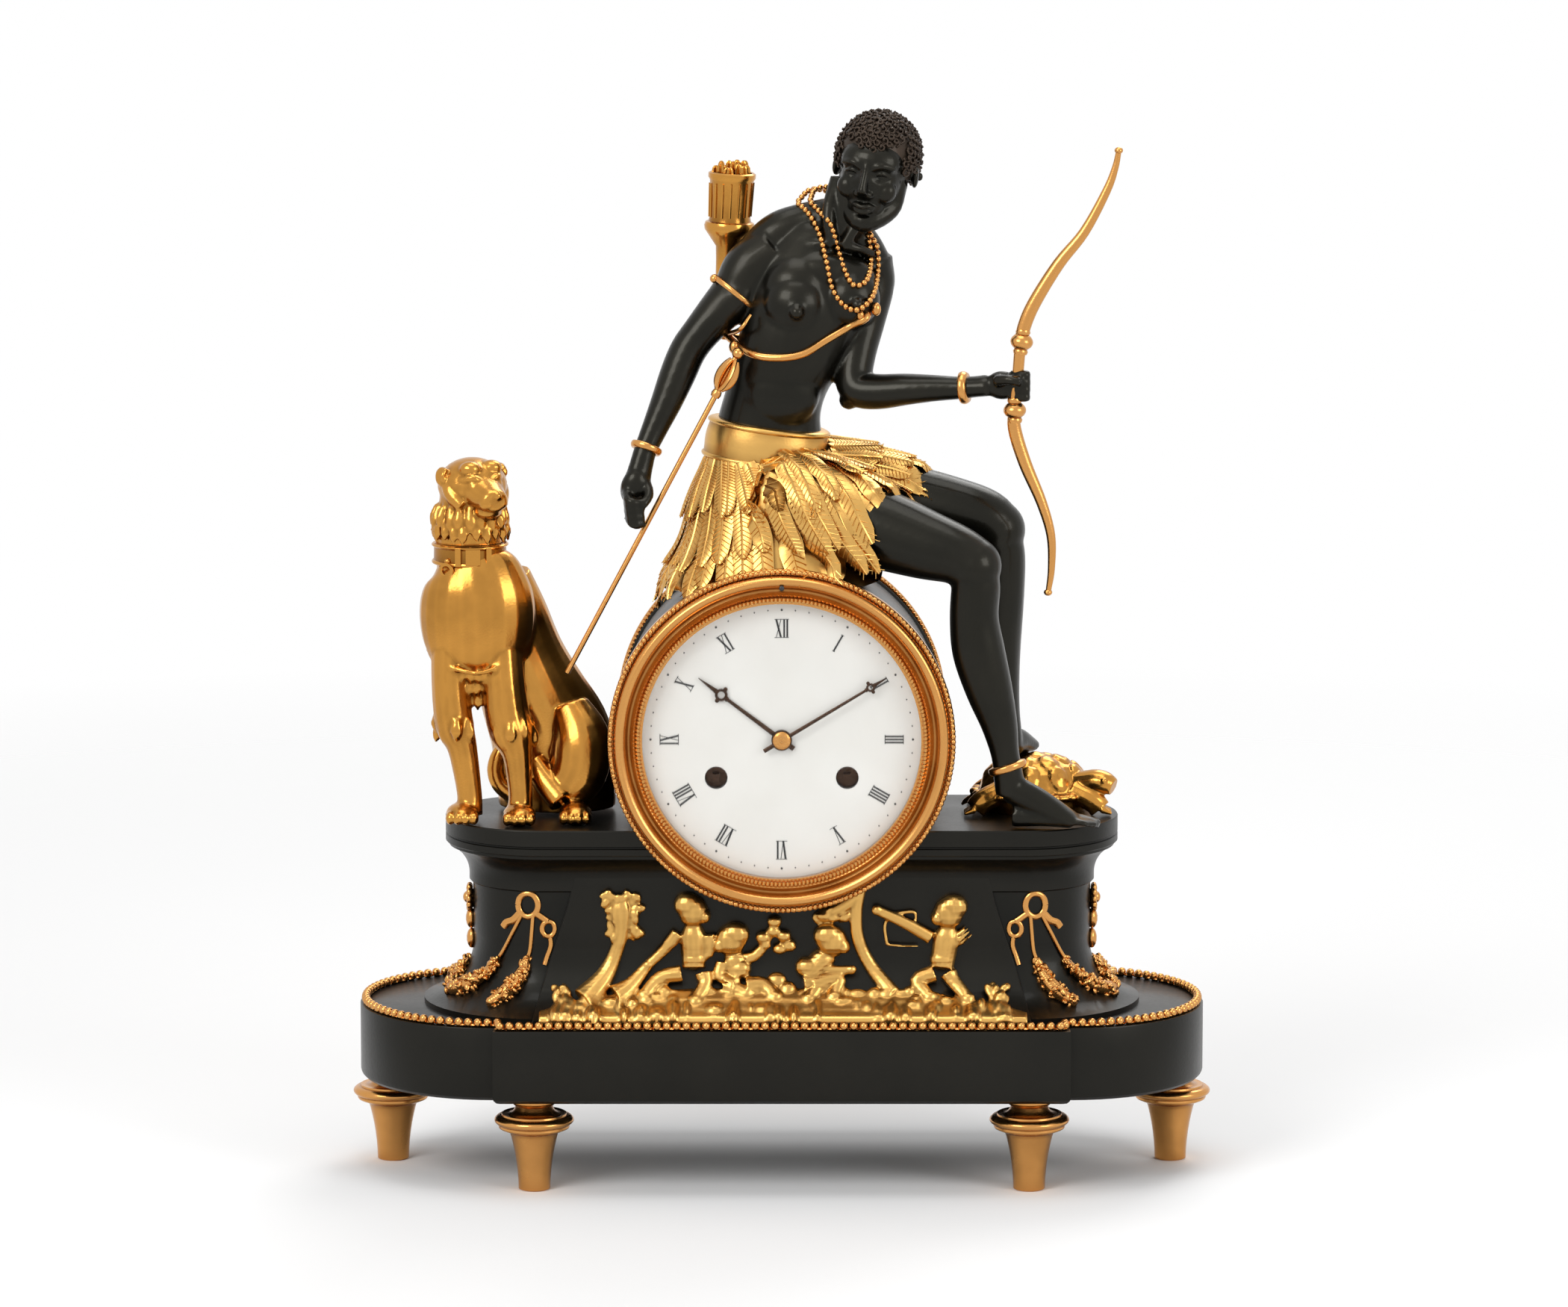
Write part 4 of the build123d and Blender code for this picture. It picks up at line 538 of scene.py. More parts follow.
# %% Plinth
plinth_foot, plinth_head = low("plinth").z, high("plinth").z
end_radius, end_centre, break_step = 61.0, 126.5, 7.5


def end_arc(centre, radius, steps, begin=-pi / 2):
    """The round right end of a plan, from a turn in front to the same turn behind."""
    turns = [begin - 2 * begin * step / steps for step in range(steps + 1)]
    return [(centre + radius * cos(turn), radius * sin(turn)) for turn in turns]


def both_ends(half):
    """A closed plan from its right half, which is turned about the middle for the left one."""
    return [(side * x, side * y) for side in (1, -1) for x, y in half]


def plinth_plan(inset, steps=28):
    """The plan of the plinth, drawn in by an inset, as a closed loop of (x, y)."""
    reach = end_radius - inset
    brow = end_radius + break_step - inset
    corner = end_centre - inset
    return both_ends([(corner, -brow), (corner, -reach), *end_arc(end_centre, reach, steps),
                      (corner, reach), (corner, brow)])


def stacked(form, plans):
    """Bridges rings, each a plan and its height, and shuts the first and the last."""
    rings = [[form.verts.new((x, y, height)) for x, y in plan] for plan, height in plans]
    loops = [[form.edges.new(pair) for pair in zip(ring, ring[1:] + ring[:1])] for ring in rings]
    for near, far in zip(loops, loops[1:]):
        bmesh.ops.bridge_loops(form, edges=near + far)
    bmesh.ops.contextual_create(form, geom=rings[0])
    bmesh.ops.contextual_create(form, geom=rings[-1])


plinth_form = bmesh.new()
plinth_levels = [(4, plinth_head - 4), (4, plinth_foot), (3, plinth_foot), (1.6, plinth_foot + 0.5),
                 (0.4, plinth_foot + 1.8), (0, plinth_foot + 3.4), (0, plinth_head - 0.8),
                 (0.25, plinth_head - 0.2), (0.9, plinth_head)]
stacked(plinth_form, [(plinth_plan(inset), height) for inset, height in plinth_levels])
piece("plinth_casting", plinth_form, base_bronze, stands_for=["plinth"],
      crease=28)

# %% Bead rail


def walk(points, pitch):
    """Even places along a line of points, with the direction at each."""
    points = [Vector(point) for point in points]
    total = sum((b - a).length for a, b in zip(points, points[1:]))
    count = max(1, round(total / pitch))
    gap = total / count
    places, left = [], gap / 2
    for a, b in zip(points, points[1:]):
        run = (b - a).length
        while left <= run and run > 0:
            places.append((a.lerp(b, left / run), (b - a).normalized()))
            left += gap
        left -= run
    return places


bead_radius = 2.0
bead_inset = 0.5 + bead_radius
beads = bmesh.new()
rail_plan = [(x, y, plinth_head + bead_radius * 0.9) for x, y in plinth_plan(bead_inset, 40)]
rail_plan.append(rail_plan[0])
bead_places = walk(rail_plan, 2.15 * bead_radius)
for place, along in bead_places:
    ball(beads, place, bead_radius, sides=10)
for place, along in walk(rail_plan, 5):
    ball(beads, place - Vector((0, 0, bead_radius * 0.55)), (2.9, 1.5, 0.8), sides=6,
         turn=(0, 0, along.to_2d().angle_signed(Vector((1, 0))) * 180 / pi))
piece("bead_row", beads, copper_gilt, stands_for=["bead_rail"], crease=70)
print("beads:", len(bead_places))

# %% [markdown]
# ## The waisted base
# The base is one casting with the platform. Its side line is drawn as radius and height: a
# flared foot, a straight waist, a hollow moulding and a flat band. The plan at each height
# is two half circles and two straight sides, and a panel stands a little forward in front
# and behind. The drum's seat is cut out of it, as a founder would leave it open.

# %% Base
centre_x, waist_head = 105.0, 134.0
dial_z = 200.0
drum_radius = 71.0


def arc_through(start, middle, end, steps):
    """Points of the circle through three points, from start to end."""
    a, b, c = (complex(*point) for point in (start, middle, end))
    w = (c - a) / (b - a)
    centre = (b - a) * (w - abs(w) ** 2) / (2j * w.imag) + a
    radius = abs(a - centre)
    first = np.angle(a - centre)
    turn = (np.angle(c - centre) - first + pi) % (2 * pi) - pi
    spots = [centre + radius * np.exp(1j * (first + turn * step / steps))
             for step in range(steps + 1)]
    return [(spot.real, spot.imag) for spot in spots]


flare = [(54, plinth_head)] + arc_through((54, 77.4), (37.94, 86.7), (32, 108.4), 18)
flare += [(32, 116), (32, 125), (32, 138)]
flare_heights = [height for radius, height in flare]
flare_radii = [radius for radius, height in flare]


def flare_radius(height):
    """Radius of the waist at a height."""
    return float(np.interp(height, flare_heights, flare_radii))


def base_plan(radius, height, proud, steps=24):
    """The plan of the base at one height, with the panel standing proud."""
    edge = 110.0 - 19.0 * (height - plinth_head) / (waist_head - plinth_head)
    past = max(0, edge + 0.6 - centre_x)
    begin = np.arcsin(min(1, past / radius)) - pi / 2
    foot_y = -radius * cos(begin + pi / 2)
    corner = [(edge - 0.5, -(radius + proud)), (edge, -(radius + proud) + 0.4),
              (edge + 0.05, foot_y)]
    half = corner + end_arc(centre_x, radius, steps, begin)
    return both_ends(half + [(x, -y) for x, y in reversed(corner)])


def round_bar(form, x, z, radius, front, back, steps=48):
    """A short round bar along Y."""
    turned(form, [(0, front), (radius, front), (radius, back), (0, back)], (x, 0, z), (0, 1, 0),
           steps)


def seated(form):
    """A form of the base with the drum's seat taken out of it."""
    seat = bmesh.new()
    round_bar(seat, 0, dial_z, drum_radius + 0.1, -90, 90, steps=128)
    return drilled(form, seat)


waist = bmesh.new()
panel_proud = 2.0
stacked(waist, [(base_plan(flare_radius(height), min(height, waist_head), panel_proud), height)
                for height in flare_heights])
piece("waist_casting", seated(waist), base_bronze, stands_for=["pedestal"],
      crease=30)

moulding = bmesh.new()
cove = arc_through((33.6, 134), (36.68, 142.06), (42.4, 146.4), 12)
fascia = [(33, 130), (33.6, 130.6), *cove, (42.5, 147.9), (43.7, 148), (44, 148.3), (44, 151),
          (43.4, 151.4), (43.4, 151.9), (44, 152.3), (44, 158.9), (43.6, 159.5)]
stacked(moulding, [(both_ends(end_arc(centre_x, radius, 36)), height) for radius, height in fascia])
piece("platform_casting", seated(moulding), base_bronze, crease=30)

nut = bmesh.new()
nut_profile = [(0, 33), *bow_line((0, 33), (6.6, 38.5), -0.22, 8), (7.5, 38.6), (7.5, 42),
               (3.2, 42), (3.2, 71.5), (0, 71.5)]
turned(nut, nut_profile, (-18, -16, 0), (0, 0, 1), steps=48)
piece("tie_nut_dome", nut, base_bronze, stands_for=["tie_nut"])

# %% [markdown]
# ## The drum and its rings
# The drum case is a plain tube, turned with a rounded edge at the back. In front the bezel
# carries the glass: a fine beaded ring inside, a hollow, a broad rounded band, a groove and
# a beaded ring outside. Beads are small balls set round a circle.

# %% Drum and bezel
drum_front, drum_back = -44.4, 44.4


def bead_circle(form, radius, depth, bead, pitch):
    """Small balls round a circle about the dial's axis."""
    count = round(2 * pi * radius / pitch)
    for number in range(count):
        turn = 2 * pi * number / count
        ball(form, (radius * cos(turn), depth, dial_z + radius * sin(turn)), bead, sides=7)


def about_dial(form, profile, steps=160):
    """Spins a profile of (radius, depth) about the dial's axis."""
    turned(form, profile, (0, 0, dial_z), (0, 1, 0), steps)


drum = bmesh.new()
about_dial(drum, [(68.5, drum_front), (71, drum_front), (71, 37.6),
                  *bow_line((71, 37.6), (71, 40.4), -0.4, 5), (71, drum_back), (64, drum_back),
                  (64, 42.4), (68.5, 42.4), (68.5, drum_front)])
piece("drum_shell", drum, base_bronze, stands_for=["drum_case"], crease=30)

bezel = bmesh.new()
bezel_profile = [(61.3, -44.4), (61, -45), (61, -49)]
bezel_profile += bow_line((61, -49), (65, -49.6), 0.10, 4)
bezel_profile += bow_line((65.2, -49.2), (68.4, -49.8), 0.55, 8)
bezel_profile += bow_line((68.5, -50.2), (73.4, -49.4), -0.42, 12)
bezel_profile += [(73.5, -48.6), (73.7, -48.2), (75.6, -48.2), (76, -47.8), (76, -44.4),
                  (61.3, -44.4)]
about_dial(bezel, bezel_profile)
bead_circle(bezel, 63, -50.3, 1.05, 1.75)
bead_circle(bezel, 74.8, -48.6, 1.15, 2.05)
piece("bezel_ring", bezel, copper_gilt, body="bezel", stands_for=["front_bezel"],
      crease=35)

pane = bmesh.new()
about_dial(pane, [(0, -50.2), *bow_line((0, -50.2), (62.2, -49.6), 0.002), (62.2, -48.7),
                  (0, -48.7)])
piece("dial_crystal", pane, glass.material, body="bezel", stands_for=["dial_glass"])

# %% [markdown]
# ## The dial
# The dial is one sheet of enamelled copper with two winding holes and a middle hole. The
# numerals are painted: thick strokes, thin strokes and small end lines, each turned to face
# outwards. Minutes are dots, with a larger dot at every fifth.

# %% Dial
dial_face = -42.8
winding_places = [(-28.7, 183), (28.7, 183)]
plate = bmesh.new()
about_dial(plate, [(0, dial_face), *bow_line((0, dial_face), (62.3, dial_face + 0.25), 0, 10),
                   (62.4, -42.2), (62.4, -41), (0, -41)], steps=128)
holes = bmesh.new()
for x, z, radius in [(*place, 5) for place in winding_places] + [(0, dial_z, 3.4)]:
    round_bar(holes, x, z, radius, -46, -38)
piece("enamel_dial", drilled(plate, holes), enamel.material, stands_for=["dial"],
      crease=30)

# Black cups in the winding holes, as painted shade inside the holes.
hole_shade_form = bmesh.new()
for x, z in winding_places:
    turned(hole_shade_form, [(5, -42.5), (4.9, -42.5), (4.9, -37.4), (0, -37.4), (0, -37.2), (5, -37.2)],
           (x, 0, z), (0, 1, 0), steps=40)
piece("winding_hole_shade", hole_shade_form, ink_and_hole_shade.material)

print_depth = 0.07
numeral_radius, numeral_height = 49.3, 8.2
squeeze, fill = 0.62, 0.98
minute_radius, dot_radius, big_dot_radius = 57.4, 0.34, 0.52
strokes_of = {
    "I": [((0, 0), (0, 1), 0.150)],
    "V": [((-0.34, 1), (0, 0), 0.165), ((0.34, 1), (0, 0), 0.055)],
    "X": [((-0.34, 1), (0.34, 0), 0.165), ((0.34, 1), (-0.34, 0), 0.055)],
}
width_of = {"I": 0.27, "V": 0.70, "X": 0.70}
hour_names = ["XII", "I", "II", "III", "IIII", "V", "VI", "VII", "VIII", "IX", "X", "XI"]


def stroke(form, start, end, width, across, up, origin):
    """A thin painted bar between two points of a numeral, as a slight box on the dial."""
    middle = (Vector(start) + Vector(end)) / 2
    run = Vector(end) - Vector(start)
    centre = origin + across * middle.x + up * middle.y
    along = (across * run.x + up * run.y).normalized()
    side = along.cross(Vector((0, 1, 0)))
    turn = Matrix((side, Vector((0, 1, 0)), along)).transposed().to_4x4()
    size = Matrix.Diagonal((width, print_depth, run.length, 1))
    part = bmesh.new()
    bmesh.ops.create_cube(part, size=1.0, matrix=Matrix.Translation(centre) @ turn @ size)
    poured(form, part)


numerals = bmesh.new()
for hour, name in enumerate(hour_names):
    turn = radians(30 * hour)
    up = Vector((sin(turn), 0, cos(turn)))
    across = Vector((cos(turn), 0, -sin(turn)))
    origin = Vector((0, dial_face + 0.10, dial_z)) + up * (numeral_radius - numeral_height / 2)
    total = sum(width_of[letter] for letter in name)
    left = -total / 2
    for letter in name:
        centre = left + width_of[letter] / 2
        for start, end, width in strokes_of[letter]:
            ends = [Vector((centre + x * squeeze, z)) * numeral_height * fill
                    for x, z in (start, end)]
            for spot in ends:
                spot.x *= squeeze
            stroke(numerals, *ends, width * numeral_height * squeeze, across, up, origin)
        left += width_of[letter]
    reach = total / 2 * numeral_height * squeeze
    for level in (0, fill * numeral_height):
        stroke(numerals, (-reach, level), (reach, level), 0.28, across, up, origin)
for minute in range(60):
    turn = radians(6 * minute)
    place = (minute_radius * sin(turn), dial_face + 0.16, dial_z + minute_radius * cos(turn))
    dot = big_dot_radius if minute % 5 == 0 else dot_radius
    ball(numerals, place, (dot, 0.06, dot), sides=8)
piece("dial_numerals", numerals, ink_and_hole_shade.material)

# %% [markdown]
# ## The hands
# The hands are sawn from thin steel: a slim stem that tapers, a ring near the tip and a fine
# point. The hour hand's ring is larger and carries small side buds. A gilt collet holds them.

# %% Hands


def hand(name, node, body, angle, length, ring_at, ring_radius, width):
    """A blued hand between two depths, turned clockwise by an angle from twelve."""
    front, back = low(node).y, high(node).y
    form = bmesh.new()
    axis = Vector((sin(radians(angle)), 0, cos(radians(angle))))
    side = Vector((cos(radians(angle)), 0, -sin(radians(angle))))
    depth = (front + back) / 2
    thick = (back - front) / 2
    centre = Vector((0, depth, dial_z))

    def spar(start, end, wide_start, wide_end):
        limb(form, [(*(centre + axis * start), wide_start, thick),
                    (*(centre + axis * end), wide_end, thick)], sides=8, per_span=1)

    spar(-0.2 * ring_at, ring_at - ring_radius, width, width * 0.62)
    spar(ring_at + ring_radius, length, width * 0.95, 0.16)
    steps = 28
    for step in range(steps):
        first, last = 2 * pi * step / steps, 2 * pi * (step + 1) / steps
        ends = [centre + axis * (ring_at + ring_radius * cos(turn)) + side * ring_radius * sin(turn)
                for turn in (first, last)]
        limb(form, [(*ends[0], width * 0.6, thick), (*ends[1], width * 0.6, thick)], sides=6,
             per_span=1)
    for bud in (-1, 1):
        ball(form, centre + axis * ring_at + side * bud * (ring_radius + width * 0.8),
             (width * 0.85, thick, width * 0.85), sides=10)
        ball(form, centre + axis * (ring_at + bud * (ring_radius + width * 0.7)),
             (width, thick, width), sides=10)
    about_dial(form, [(0, front), (4.2, front), (4.5, depth), (4.2, back), (0, back)], steps=40)
    piece(name, form, blued, body=body, stands_for=[node])


hand("hour_hand_steel", "hour_hand", "hour_work", -53, 45.6, 33.1, 2.2, 1.15)
hand("minute_hand_steel", "minute_hand", "minute_work", 58.8, 53.6, 45.4, 1.5, 0.95)
collet = bmesh.new()
front, back = low("hand_collet").y, high("hand_collet").y
about_dial(collet, [(0, front), *bow_line((0, front), (3.9, back - 0.2), -0.12), (4, back),
                    (0, back)], steps=40)
piece("hands_collet", collet, copper_gilt, body="minute_work",
      stands_for=["hand_collet"])

# %% [markdown]
# ## The back door
# The back door is a thin dished disc with a rolled rim and a ring of round holes that let
# the bell be heard. It is turned like the bezel and drilled like the dial. A beaded ring on
# the drum goes round behind it.

# %% Back door
door = bmesh.new()
door_profile = [(0, 45.6), (60, 45.6), (62, 44.5), (73.2, 44.5), (73.5, 45), (73.5, 47),
                *bow_line((73.5, 47), (66, 46.8), 0.16, 7), (64.6, 46.8), (64.2, 47.4),
                (62.8, 47.4), (62.4, 46.8), (0, 46.8)]
about_dial(door, door_profile, steps=128)
vent_count, vent_circle, vent_radius = 9, 45.6, 9.5
vents = bmesh.new()
for number in range(vent_count):
    turn = 2 * pi * number / vent_count + pi / 2
    round_bar(vents, vent_circle * cos(turn), dial_z + vent_circle * sin(turn), vent_radius, 40, 50)
piece("back_door_disc", drilled(door, vents), copper_gilt, body="rear_door",
      stands_for=["back_door"], crease=30)
rear_rim = bmesh.new()
bead_circle(rear_rim, 72.2, 43.2, 1.2, 2.1)
piece("rear_beads", rear_rim, copper_gilt)

# %% [markdown]
# ## The huntress
# A founder models the figure in wax: a core for the trunk, rolls for the limbs, pellets for
# the swelling muscles, all worked into one skin. The same is done here. Tubes and balls
# overlap, a fine remesh melts them together, and smoothing is the sculptor's thumb. She
# sits on the drum with her trunk turned to the front and her knees to the right.

# %% Trunk, arms and legs
body = bmesh.new()
trunk = [
    (-6, -2, 300, 27, 22), (-6, -2, 318, 25.5, 19), (-5.5, -2, 333, 23, 17),
    (-3.5, -3, 345, 21.5, 16.5), (0, -4.5, 358, 22.5, 18), (6, -5.5, 372, 24.5, 19),
    (12, -4, 388, 26.5, 18.5), (15.5, -2, 401, 25.5, 16.5), (19, -0.5, 411, 20.5, 13),
    (24, -1, 418, 13, 11), (28, -2.5, 424, 9.8, 9.8), (32, -4.5, 434, 9.2, 9.4),
    (34, -5, 441, 9, 9.4),
]
limb(body, trunk, sides=28)
limb(body, [(-14, 1, 404, 10, 9.5), (-2, 1.5, 416, 10.5, 9.5), (10, 1.5, 421.5, 9.5, 8.5),
            (24, 0, 426, 8, 8)], sides=18)
limb(body, [(40, 3, 401, 9.5, 9), (36, 2.5, 411, 8.5, 8.5), (30, 0.5, 421, 7.5, 7.5)], sides=18)
ball(body, (5.5, -15.5, 388), (14, 11.5, 14), turn=(0, 0, -8), sides=28)
ball(body, (7, -12, 394), (15.5, 11, 15), sides=28)
ball(body, (6.5, -27.5, 386.2), (3.2, 3, 3.2), sides=14)
ball(body, (30.5, -13.5, 390.5), (12.8, 10.5, 13), turn=(0, 0, 12), sides=28)
ball(body, (28, -10, 396), (14, 10, 13), sides=28)
ball(body, (33, -24.3, 389.2), (3, 3, 3), sides=14)
ball(body, (18, -13, 402), (16, 7, 9), sides=20)
ball(body, (0, -13, 350), (17, 9.5, 17), sides=24)
limb(body, [(22, -13.5, 414.5, 2, 1.8), (10, -10.5, 414, 2.3, 2), (-2, -6.5, 411.5, 2.2, 2)],
     sides=10)
limb(body, [(27, -13.5, 413.5, 2, 1.8), (34, -10.5, 412, 2.2, 2), (40, -5.5, 409, 2.2, 2)],
     sides=10)
limb(body, [(22, -13, 414, 2.6, 2.4), (20.5, -10, 428, 3.2, 3), (24.5, -2, 442, 3.6, 3.4)],
     sides=10)
limb(body, [(27, -13, 413, 2.4, 2.2), (34, -11, 426, 3, 2.8), (41, -4, 440, 3.4, 3.2)], sides=10)

# right arm, hanging to the arrow
right_arm = [
    (-3, 0, 410, 12, 12), (-13, -1, 402.5, 12.6, 12), (-19.5, -2.5, 392, 11.4, 11),
    (-28, -4.5, 383, 9.6, 9.4), (-35.5, -6.5, 374.5, 8.4, 8.2), (-41, -8.5, 367, 8.2, 8),
    (-45.5, -11, 357, 8, 7.8), (-50.5, -14, 345, 7, 6.9), (-55.5, -17.5, 334, 5.9, 5.6),
    (-59.5, -21, 325, 5.2, 4.8), (-61.5, -23, 318, 5.4, 4.6), (-63.2, -24.8, 311, 6, 4.6),
    (-64.4, -26, 304, 5.6, 4.2),
]
limb(body, right_arm, sides=20, up=(0.3, -1, 0))
ball(body, (-20, -9.5, 390), (7, 5, 10), turn=(0, 35, 0), sides=18)
ball(body, (-43.5, -4.5, 366), (4.4, 4.4, 4.8), sides=14)

# left arm, bent forward to the bow
left_arm = [
    (38, 2.5, 406, 11, 10.5), (39.5, 3, 395, 10.2, 9.6), (36.5, -1, 380, 9.2, 9),
    (33, -6.5, 366, 8.6, 8.4), (31.5, -10.5, 355.5, 8.4, 8.2), (34, -13.5, 350.5, 8.2, 8),
    (43, -17, 350, 8, 7.8), (54, -21, 351.5, 7.4, 7), (66, -24.5, 352.5, 6.2, 5.9),
    (77, -27.5, 353, 5.3, 5), (84, -29.5, 353.8, 5.4, 4.6), (90, -31, 354.6, 5.8, 4.6),
]
limb(body, left_arm, sides=20, up=(0, -0.3, 1))
ball(body, (29.5, -12, 345.5), (4.6, 4.6, 4.2), sides=14)


def rod(form, points, radius, scales=None, **settings):
    """A round limb through points, with one radius, or a scale of it at each point."""
    scales = scales or [1] * len(points)
    limb(form, [(*point, radius * scale, radius * scale) for point, scale in zip(points, scales)],
         **settings)


def fist(form, palm, joints, thumb):
    """A closed hand: a palm, four curled fingers and a thumb laid over them.

    Each joint of the fingers is given as its place in the first one and the step to the next."""
    finger_radius = 2.15
    ball(form, palm[0], palm[1], turn=palm[2], sides=18)
    for number in range(4):
        finger = [[at + number * step for at, step in zip(*joint)] for joint in joints]
        rod(form, finger, finger_radius, (1, 1.02, 0.85), sides=10)
    rod(form, thumb, finger_radius, (1.3, 1.1, 0.85), sides=10)


fist(body, ((-64.5, -26, 309), (6.2, 4.6, 8.6), (8, 14, 0)),
     (((-68, -29, 307), (0.3, -0.2, -3.4)), ((-66, -35, 304), (0.4, -0.1, -3.3)),
      ((-60.5, -33.5, 303.5), (0.3, 0, -3.2))),
     [(-60, -25, 312), (-58, -31, 306.5), (-60.5, -35.5, 302)])
fist(body, ((96, -33.5, 355), (7.6, 4.4, 6.4), (0, 0, -12)),
     (((99.5, -36.5, 360.2), (0, 0, -3.3)), ((106.3, -40, 360.4), (0, 0, -3.3)),
      ((104.5, -33.2, 360), (0, 0, -3.3))),
     [(93, -37.5, 357.5), (98.5, -42, 358.5), (104, -43.5, 357.5)])

# legs
near_thigh = [(0, -14, 300, 21, 20), (22, -22, 297, 19.5, 19), (42, -29.5, 291.5, 18, 17.5),
              (62, -36.5, 285.5, 15.5, 15), (76, -41, 281.5, 13.2, 13),
              (85.5, -43.5, 276.5, 11.8, 11.8)]
limb(body, near_thigh, sides=24)
near_shin = [(83.6, -43.5, 276, 10.2, 10.6), (84.6, -43.2, 268, 10.8, 11),
             (84, -42.5, 254, 10.8, 10.8), (86, -42, 239, 11.6, 11.2),
             (90.6, -41.2, 222, 10.4, 10.2), (95, -40.2, 207, 8.2, 8.4), (97.8, -39, 193, 6.3, 6.8),
             (99.4, -38.4, 183, 6.6, 7), (100, -38.2, 175, 6.4, 6.8)]
limb(body, near_shin, sides=22)
ball(body, (83.6, -43.3, 277), (12.4, 12.2, 12.6), sides=24)
ball(body, (88, -46.5, 276), (6.2, 6.6, 7.6), sides=16)
far_thigh = [(6, 8, 301, 20, 19), (30, 3, 300.5, 18.5, 18), (54, -3.5, 299, 17, 16),
             (76, -8.5, 296, 14.8, 14.2), (90, -10.8, 292.5, 13, 12.6),
             (97.5, -11.5, 286, 10.6, 11)]
limb(body, far_thigh, sides=24)
far_shin = [(94.8, -11, 286.5, 10.2, 10.8), (96.6, -10.6, 276, 10.6, 10.6),
            (95.6, -9, 257, 11.2, 10.8), (94.6, -7, 240, 11.2, 10.8), (96, -5, 222, 9.2, 9.2),
            (98.6, -2.6, 206, 6.8, 7.2), (100.2, -1, 195, 6.2, 6.6), (100.6, 0, 188.5, 6.2, 6.4)]
limb(body, far_shin, sides=22)
ball(body, (94.6, -11, 288), (12.6, 12.4, 13), sides=24)
ball(body, (99.5, -13.5, 287.5), (5.8, 6.6, 7.4), sides=16)


def foot(form, ankle, heel, instep, ball_of_foot, toes, spread, sole_up, toe_size):
    """A bare foot: heel, arch, ball and five toes, from places and the way across the toes."""
    ankle, heel, instep, tread, toes, spread = [
        Vector(place) for place in (ankle, heel, instep, ball_of_foot, toes, spread)]
    limb(form, [(*ankle, 6.4, 6.6), (*instep, 6.4, 6), (*tread, 7.6, 3.8)], sides=16, up=sole_up)
    limb(form, [(*heel, 5.6, 5.4), (*heel.lerp(tread, 0.5), 5.6, 3.8), (*tread, 7.4, 3.3)],
         sides=16, up=sole_up)
    along = (toes - tread).normalized()
    for number in range(5):
        side = (number - 1.7) / 2.3
        root = tread + spread * side - along * abs(side) * 1.4
        reach = (toes - tread).length * (1 - 0.13 * number)
        size = toe_size * (1.25 if number == 0 else 0.92 - 0.05 * number)
        tip = root + along * reach
        middle = root.lerp(tip, 0.55) + Vector((0, 0, 0.7))
        limb(form, [(*root, size, size), (*middle, size, size * 0.95),
                    (*tip, size * 0.9, size * 0.8)], sides=10, up=sole_up)


foot(body, (99.6, -38.2, 178), (101.5, -37.5, 165.5), (113, -40, 171.5), (127.5, -42, 163.8),
     (141.5, -43.5, 161.3), (1.2, -6, 0), (0.2, 0, 1), 2.1)
foot(body, (100.6, 0.5, 190), (97, -6, 192), (104, 8, 190.5), (108, 19, 187),
     (111.5, 29.5, 184.5), (4.6, -1.6, 0), (0, -0.2, 1), 1.9)
skin = cast(body, 0.97, 6)
piece("huntress_body", skin, bronze, crease=180,
      stands_for=["figure_torso", "figure_hips", "figure_near_leg", "figure_far_leg",
                  "figure_right_arm", "figure_left_arm"])

# %% [markdown]
# ## Head and hair
# The head is built upright in its own frame and then leaned. The proportions are the ones
# drawing books give: eyes halfway down, the nose's foot halfway from brow to chin, the
# mouth a third below the nose. The hair is a thin cap with short curls set close over it,
# spaced as seeds are in a sunflower.

# %% Head
head_lean = Matrix.Identity(3)
for angle, about in ((11, "X"), (-14, "Z"), (8, "Y")):
    head_lean = Matrix.Rotation(radians(angle), 3, about) @ head_lean
head_place = Matrix.Translation((41, -5, 447)) @ head_lean.to_4x4()


def mirrored(half):
    """A line of stations from one side to the middle, carried on to the other side."""
    return half + [(-x, *rest) for x, *rest in reversed(half[:-1])]


head = bmesh.new()
ball(head, (0, 3.5, 4.5), (17.2, 20, 18.2), sides=32)
ball(head, (0, -6, -3), (13.6, 13, 16), sides=28)
ball(head, (0, -9, 6), (13.6, 9.6, 9), sides=24)
limb(head, mirrored([(-11.6, -2, -4, 4, 5), (-9.8, -7, -15.5, 4.2, 4.6),
                     (0, -14.2, -21, 4.6, 4.6)]), sides=14, up=(0, 0, 1))
ball(head, (0, -14.8, -20.2), (4.8, 3.8, 4), sides=16)
ball(head, (0, -11.5, -13.5), (8.2, 6.6, 6.4), sides=20)
for side in (-1, 1):
    ball(head, (side * 8.8, -13, -6.4), (4.6, 4.4, 5.2), turn=(0, side * 18, 0), sides=16)
    limb(head, [(side * 2.2, -17.2, 4.6, 1.3, 1.6), (side * 6.6, -16.9, 6.4, 1.5, 1.7),
                (side * 11.6, -13.3, 4.8, 1.2, 1.5)], sides=10)
    ball(head, (side * 17.4, 2.5, -1.5), (1.8, 4, 5.6), turn=(-12, 0, side * 18), sides=14)
limb(head, [(0, -16.6, 5.4, 2.2, 2.6), (0, -18.2, 1, 1.8, 2.6), (0, -20.2, -3.4, 2, 2.8),
            (0, -21.6, -6.2, 2.5, 2.5)], sides=12)
for side in (-1, 1):
    ball(head, (side * 2.7, -18.6, -7), (1.7, 2.2, 1.7), sides=10)
head = form_of(cast(head, 0.6, 3))


